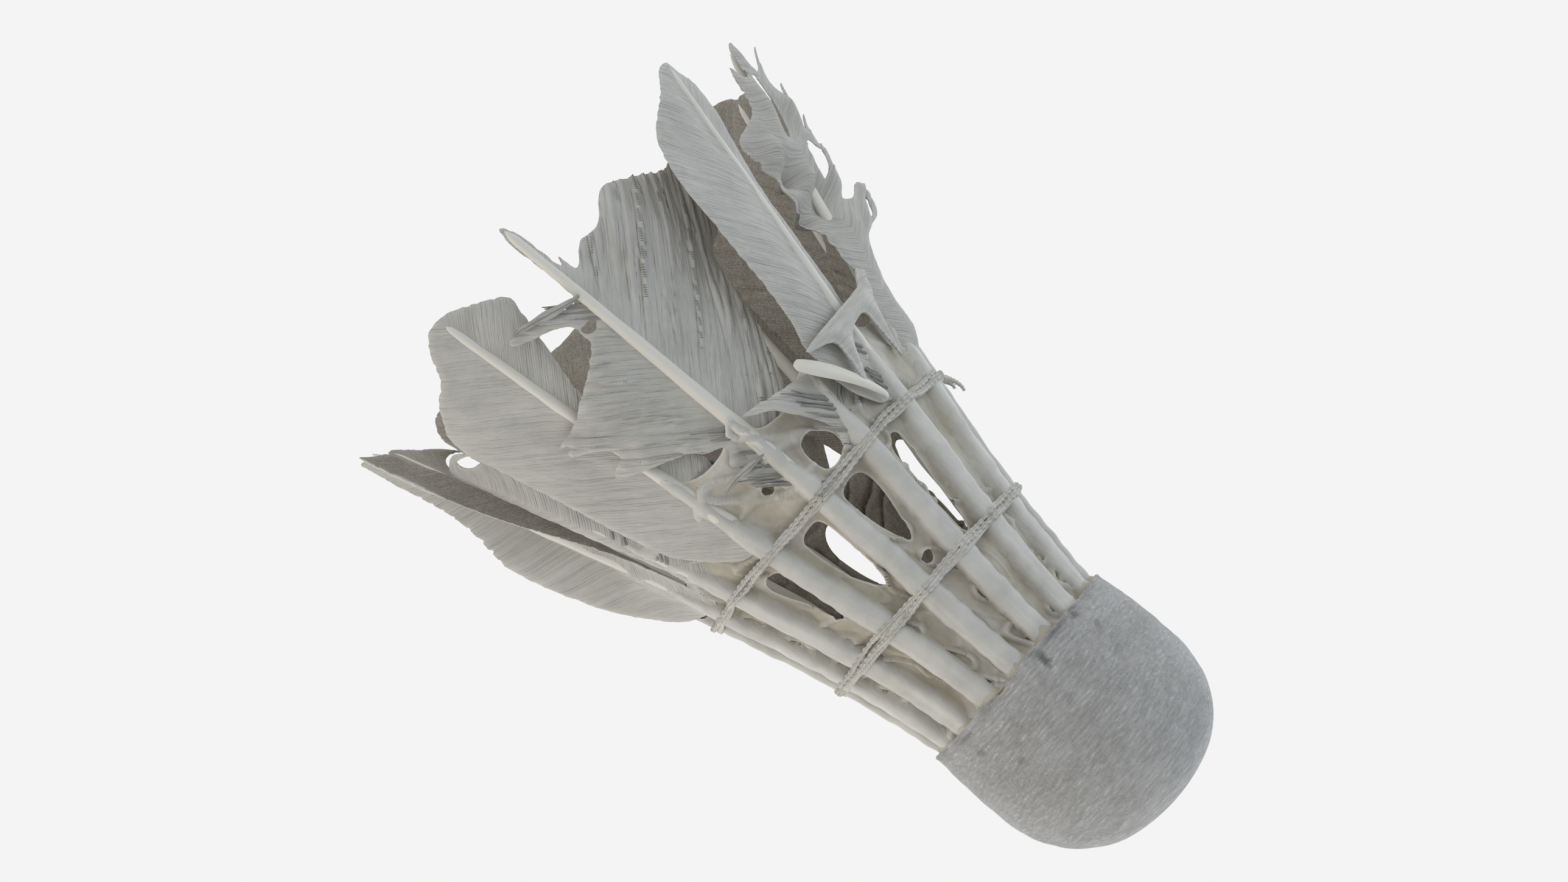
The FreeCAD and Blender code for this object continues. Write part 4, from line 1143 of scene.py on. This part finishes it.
class SHUTTLE_OT_threads(Maker):
    """Threads: two twisted strands round the skirt at each binding, in a lens of glue, with loose ends"""
    bl_idname = "shuttle.threads"
    bl_label = "Threads"

    def build(self, scene):
        s = scene.shuttle_skirt
        self.binding("binding_lower", "lower_thread", LOWER_DROP, 300, [])
        self.binding("binding_upper", "upper_thread", s.upper_drop, 320, [(4.35, 3.4), (4.62, 2.3)])

    def route(self, drop, shift):
        """Line round the skirt: straight between the tops of neighbouring stems, sunk a little between."""
        b = bpy.context.scene.shuttle_binding
        per_gap = 72
        share = np.arange(per_gap) / per_gap
        turns, radii = [], []
        ring, stem = float(ring_radius(drop)), float(stem_radius(drop))
        for gap in range(FEATHER_COUNT):
            first, last = float(feather_turn(gap, drop)), float(feather_turn(gap + 1, drop))
            turn = first + share * (last - first)
            half = (last - first) / 2
            local = turn - (first + last) / 2
            chord = (ring + stem) * math.cos(half) / np.cos(local)
            chord = chord - b.dip * np.cos(local / half * math.pi / 2) ** 2
            over = np.abs(np.abs(local) - half) * ring
            top = ring + np.sqrt(np.maximum(stem ** 2 - over ** 2, 0))
            turns.append(turn)
            radii.append(smooth_max(chord, top - 0.02 * MM, 0.25 * MM) + shift)
        return np.concatenate(turns), np.concatenate(radii)

    def binding(self, name, replaced, drop, seed, ends):
        b = bpy.context.scene.shuttle_binding
        around = section_turns(14)
        parts, uvs = [], []
        for strand in (-1, 1, 0):
            turn, radius = self.route(drop, b.strand * (0.95 if strand else 0.45))
            circle = np.cos(turn), np.sin(turn)
            stray = wander(seed + strand, 3.0 * circle[0], 3.0 * circle[1])
            quick = wander(seed + 7 + strand, 9.0 * circle[0], 9.0 * circle[1])
            swap = np.cos(turn * 2.5 + seed) if strand else 0.0
            offset = strand * b.spread / 2 * (0.75 + 0.25 * swap) + b.wobble * (0.7 * stray + 0.5 * quick)
            path = place(radius + 0.06 * MM * quick, turn, drop + offset)
            step = np.linalg.norm(np.roll(path, -1, 0) - path, axis=1)
            along = np.concatenate([[0], np.cumsum(step)[:-1]])[:, None]
            plies = np.round(step.sum() / b.ply_pitch) / step.sum() * 2 * math.pi
            if strand:
                out = b.strand * (1 + 0.20 * np.cos(2 * (around - plies * along)))
                out = out * (1 + 0.12 * wander(seed + 11 + strand, 14 * circle[0], 14 * circle[1])[:, None])
                tall = out
            else:
                ripple = 1 + 0.10 * wander(seed + 5, 12 * circle[0], 12 * circle[1])[:, None]
                out, tall = b.strand * 0.62 * ripple, b.spread * 0.70 * ripple
            parts.append(swept(path, around, out, tall, closed=True))
            uvs.append(tube_uv(along / MM, around / 3.2, closed=True))
        for feather_share, size in ends:
            part, uv = self.loose_end(drop, feather_share, size, around, seed)
            parts.append(part)
            uvs.append(uv)
        points, quads, tris = joined(parts)
        piece = make_piece(name, points, quads, tris, np.concatenate(uvs))
        dress(piece, "thread", "binding_thread")
        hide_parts(replaced)

    def loose_end(self, drop, feather_share, size, around, seed):
        """A short curl of thread that stands up from the binding towards the cork and frays out."""
        b = bpy.context.scene.shuttle_binding
        t = np.linspace(0, 1, 26)
        turn = feather_share * STEP + 0.05 * t + 0.02 * np.sin(5 * t + seed)
        away = drop - size * MM * t * 0.9
        radius = ring_radius(drop) + stem_radius(drop) * 0.9 + MM * (0.4 + 1.0 * np.sin(2.2 * t))
        path = place(radius, turn, away)
        width = b.strand * 1.25 * (1 - 0.55 * t)[:, None] * (1 + 0.2 * np.cos(2 * (around - 26 * t[:, None])))
        return swept(path, around, width), tube_uv(t[:, None] * size, around / 3.2)


class SHUTTLE_OT_splinters(Maker):
    """Splinters: flattened, split shards carried along short lines that stand off the skirt"""
    bl_idname = "shuttle.splinters"
    bl_label = "Splinters"

    def build(self, scene):
        around = section_turns(18)
        t = np.linspace(0, 1, 60)
        for number, (node, stations, width, flat, slot, finish) in enumerate(SPLINTERS):
            knots = np.linspace(0, 1, len(stations))
            turn, drop, stand = (np.polyval(np.polyfit(knots, row, 3), t) for row in np.array(stations).T)
            away = drop * MM
            path = place(ring_radius(away) + stand * MM, turn * STEP, away)
            taper = 0.45 + 0.55 * np.sin(math.pi * np.clip(1.15 * (1 - t), 0, 1)) ** 0.7
            taper = taper * smooth_step(t / 0.06 + 0.3)
            taper = taper * np.clip((1 - t) / 0.10, 0.06, 1) ** 0.6
            rough = wander(240 + number, 9 * t[:, None], 1.6 * np.cos(around), 1.6 * np.sin(around))
            size = width * MM * taper[:, None] * (1 + 0.16 * rough)
            points, quads, tris = swept(path, around, size * flat, size)
            uv = tube_uv(around * 1.2, 8 * t[:, None])
            marks = np.ones(len(points))
            piece = make_piece(node.replace("splinter", "shard"), points, quads, tris, uv, marks)
            dress(piece, slot, finish)
            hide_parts(node)


class SHUTTLE_OT_stage(Maker):
    """Stage: a pale floor and surroundings, a warm and a cool soft light, and the camera"""
    bl_idname = "shuttle.stage"
    bl_label = "Stage"

    def build(self, scene):
        st = scene.shuttle_stage
        scene.view_settings.view_transform = "Standard"
        side = Vector((-1, 0, 0))
        ahead = Vector((0, math.cos(st.elevation), -math.sin(st.elevation)))
        skirtward = Vector((0, -math.sin(st.elevation), -math.cos(st.elevation)))
        right = math.cos(st.lean) * side - math.sin(st.lean) * skirtward
        up = math.sin(st.lean) * side + math.cos(st.lean) * skirtward
        aim = Vector((-st.aim_side, 0, FACE_HEIGHT - st.aim_drop))
        camera = bpy.data.cameras.new("camera")
        camera.lens = st.lens
        camera.sensor_width = 36.0
        camera.clip_end = 50.0
        eye = bpy.data.objects.new("camera", camera)
        facing = Matrix((right, up, -ahead)).transposed().to_4x4()
        eye.matrix_world = Matrix.Translation(aim - ahead * st.distance) @ facing
        scene.collection.objects.link(eye)
        scene.camera = eye
        self.light(scene, "warm_light", aim, aim + (-0.42 * right - 0.84 * up - 0.30 * ahead) * 0.9, 0.45,
                   st.warm_power, (1.0, 0.90, 0.76))
        self.light(scene, "cool_light", aim, aim + (0.58 * right + 0.45 * up - 0.30 * ahead) * 0.9, 0.5,
                   st.cool_power, (0.68, 0.84, 1.0))
        self.surroundings(scene, st)

    def light(self, scene, name, aim, position, size, power, tint):
        lamp = bpy.data.lights.new(name, "AREA")
        lamp.size = size
        lamp.energy = power
        lamp.color = tint
        holder = bpy.data.objects.new(name, lamp)
        facing = (position - aim).to_track_quat("Z", "Y").to_matrix().to_4x4()
        holder.matrix_world = Matrix.Translation(position) @ facing
        scene.collection.objects.link(holder)

    def surroundings(self, scene, st):
        world = bpy.data.worlds.new("surroundings")
        world.use_nodes = True
        nodes, links = world.node_tree.nodes, world.node_tree.links
        nodes.clear()
        out = nodes.new("ShaderNodeOutputWorld")
        seen = nodes.new("ShaderNodeBackground")
        seen.inputs["Color"].default_value = (st.paper, st.paper, st.paper, 1)
        cast = nodes.new("ShaderNodeBackground")
        cast.inputs["Color"].default_value = (0.93, 0.965, 1.0, 1)
        toward = nodes.new("ShaderNodeTexCoord")
        split = nodes.new("ShaderNodeSeparateXYZ")
        fade = nodes.new("ShaderNodeMapRange")
        fade.inputs["From Min"].default_value = -0.1
        fade.inputs["From Max"].default_value = 1.0
        fade.inputs["To Min"].default_value = st.sky
        fade.inputs["To Max"].default_value = st.back_sky
        links.new(toward.outputs["Generated"], split.inputs[0])
        links.new(split.outputs["Y"], fade.inputs["Value"])
        links.new(fade.outputs[0], cast.inputs["Strength"])
        path = nodes.new("ShaderNodeLightPath")
        mix = nodes.new("ShaderNodeMixShader")
        links.new(path.outputs["Is Camera Ray"], mix.inputs[0])
        links.new(cast.outputs[0], mix.inputs[1])
        links.new(seen.outputs[0], mix.inputs[2])
        links.new(mix.outputs[0], out.inputs[0])
        scene.world = world
        self.floor(scene, st)

    def floor(self, scene, st):
        """A flat disc just under the tips, evenly bright."""
        sides, level, radii = 96, -0.2 * MM, np.array([0.05, 0.4, 4.0])[:, None]
        turn = section_turns(sides)[0]
        points = np.stack([radii * np.cos(turn), radii * np.sin(turn), np.full((3, sides), level)], -1)
        points = np.concatenate([points.reshape(-1, 3), [[0, 0, level]]])
        quads = np.roll(ring_quads(3, sides)[:2, :, ::-1], 1, -1).reshape(-1, 4)
        ring = np.arange(sides)
        mesh = bpy.data.meshes.new("floor")
        faces = quads.tolist() + np.stack([ring, (ring + 1) % sides, np.full(sides, 3 * sides)], -1).tolist()
        mesh.from_pydata(points.tolist(), [], faces)
        floor = bpy.data.objects.new("floor", mesh)
        scene.collection.objects.link(floor)
        n = Nodes("pale_floor")
        glow = n.node("Emission", Color=(1, 1, 1, 1), Strength=st.paper)
        n.feed(n.out.inputs[0], glow)
        mesh.materials.append(n.material)


class SHUTTLE_PT_panel(bpy.types.Panel):
    """The shuttlecock's operators in the order they run"""
    bl_label = "Shuttlecock"
    bl_idname = "SHUTTLE_PT_panel"
    bl_space_type = "VIEW_3D"
    bl_region_type = "UI"
    bl_category = "Shuttlecock"

    def draw(self, context):
        for maker in MAKERS:
            self.layout.operator(maker.bl_idname)


GROUPS = {"shuttle_skirt": SkirtSettings, "shuttle_base": BaseSettings, "shuttle_binding": BindingSettings,
          "shuttle_finish": FinishSettings, "shuttle_stage": StageSettings}
MAKERS = (SHUTTLE_OT_leather, SHUTTLE_OT_cork, SHUTTLE_OT_stems, SHUTTLE_OT_vanes, SHUTTLE_OT_tufts,
          SHUTTLE_OT_torn_web, SHUTTLE_OT_glue, SHUTTLE_OT_threads, SHUTTLE_OT_splinters, SHUTTLE_OT_stage)


def register():
    for group in GROUPS.values():
        bpy.utils.register_class(group)
    for name, group in GROUPS.items():
        setattr(bpy.types.Scene, name, PointerProperty(type=group))
    for maker in (*MAKERS, SHUTTLE_PT_panel):
        bpy.utils.register_class(maker)


def unregister():
    for maker in (SHUTTLE_PT_panel, *reversed(MAKERS)):
        bpy.utils.unregister_class(maker)
    for name, group in reversed(GROUPS.items()):
        delattr(bpy.types.Scene, name)
        bpy.utils.unregister_class(group)


def main():
    register()
    bpy.ops.shuttle.leather()
    bpy.ops.shuttle.cork()
    bpy.ops.shuttle.stems()
    bpy.ops.shuttle.vanes()
    bpy.ops.shuttle.tufts()
    bpy.ops.shuttle.torn_web()
    bpy.ops.shuttle.glue()
    bpy.ops.shuttle.threads()
    bpy.ops.shuttle.splinters()
    bpy.ops.shuttle.stage()


if __name__ == "__main__":
    main()
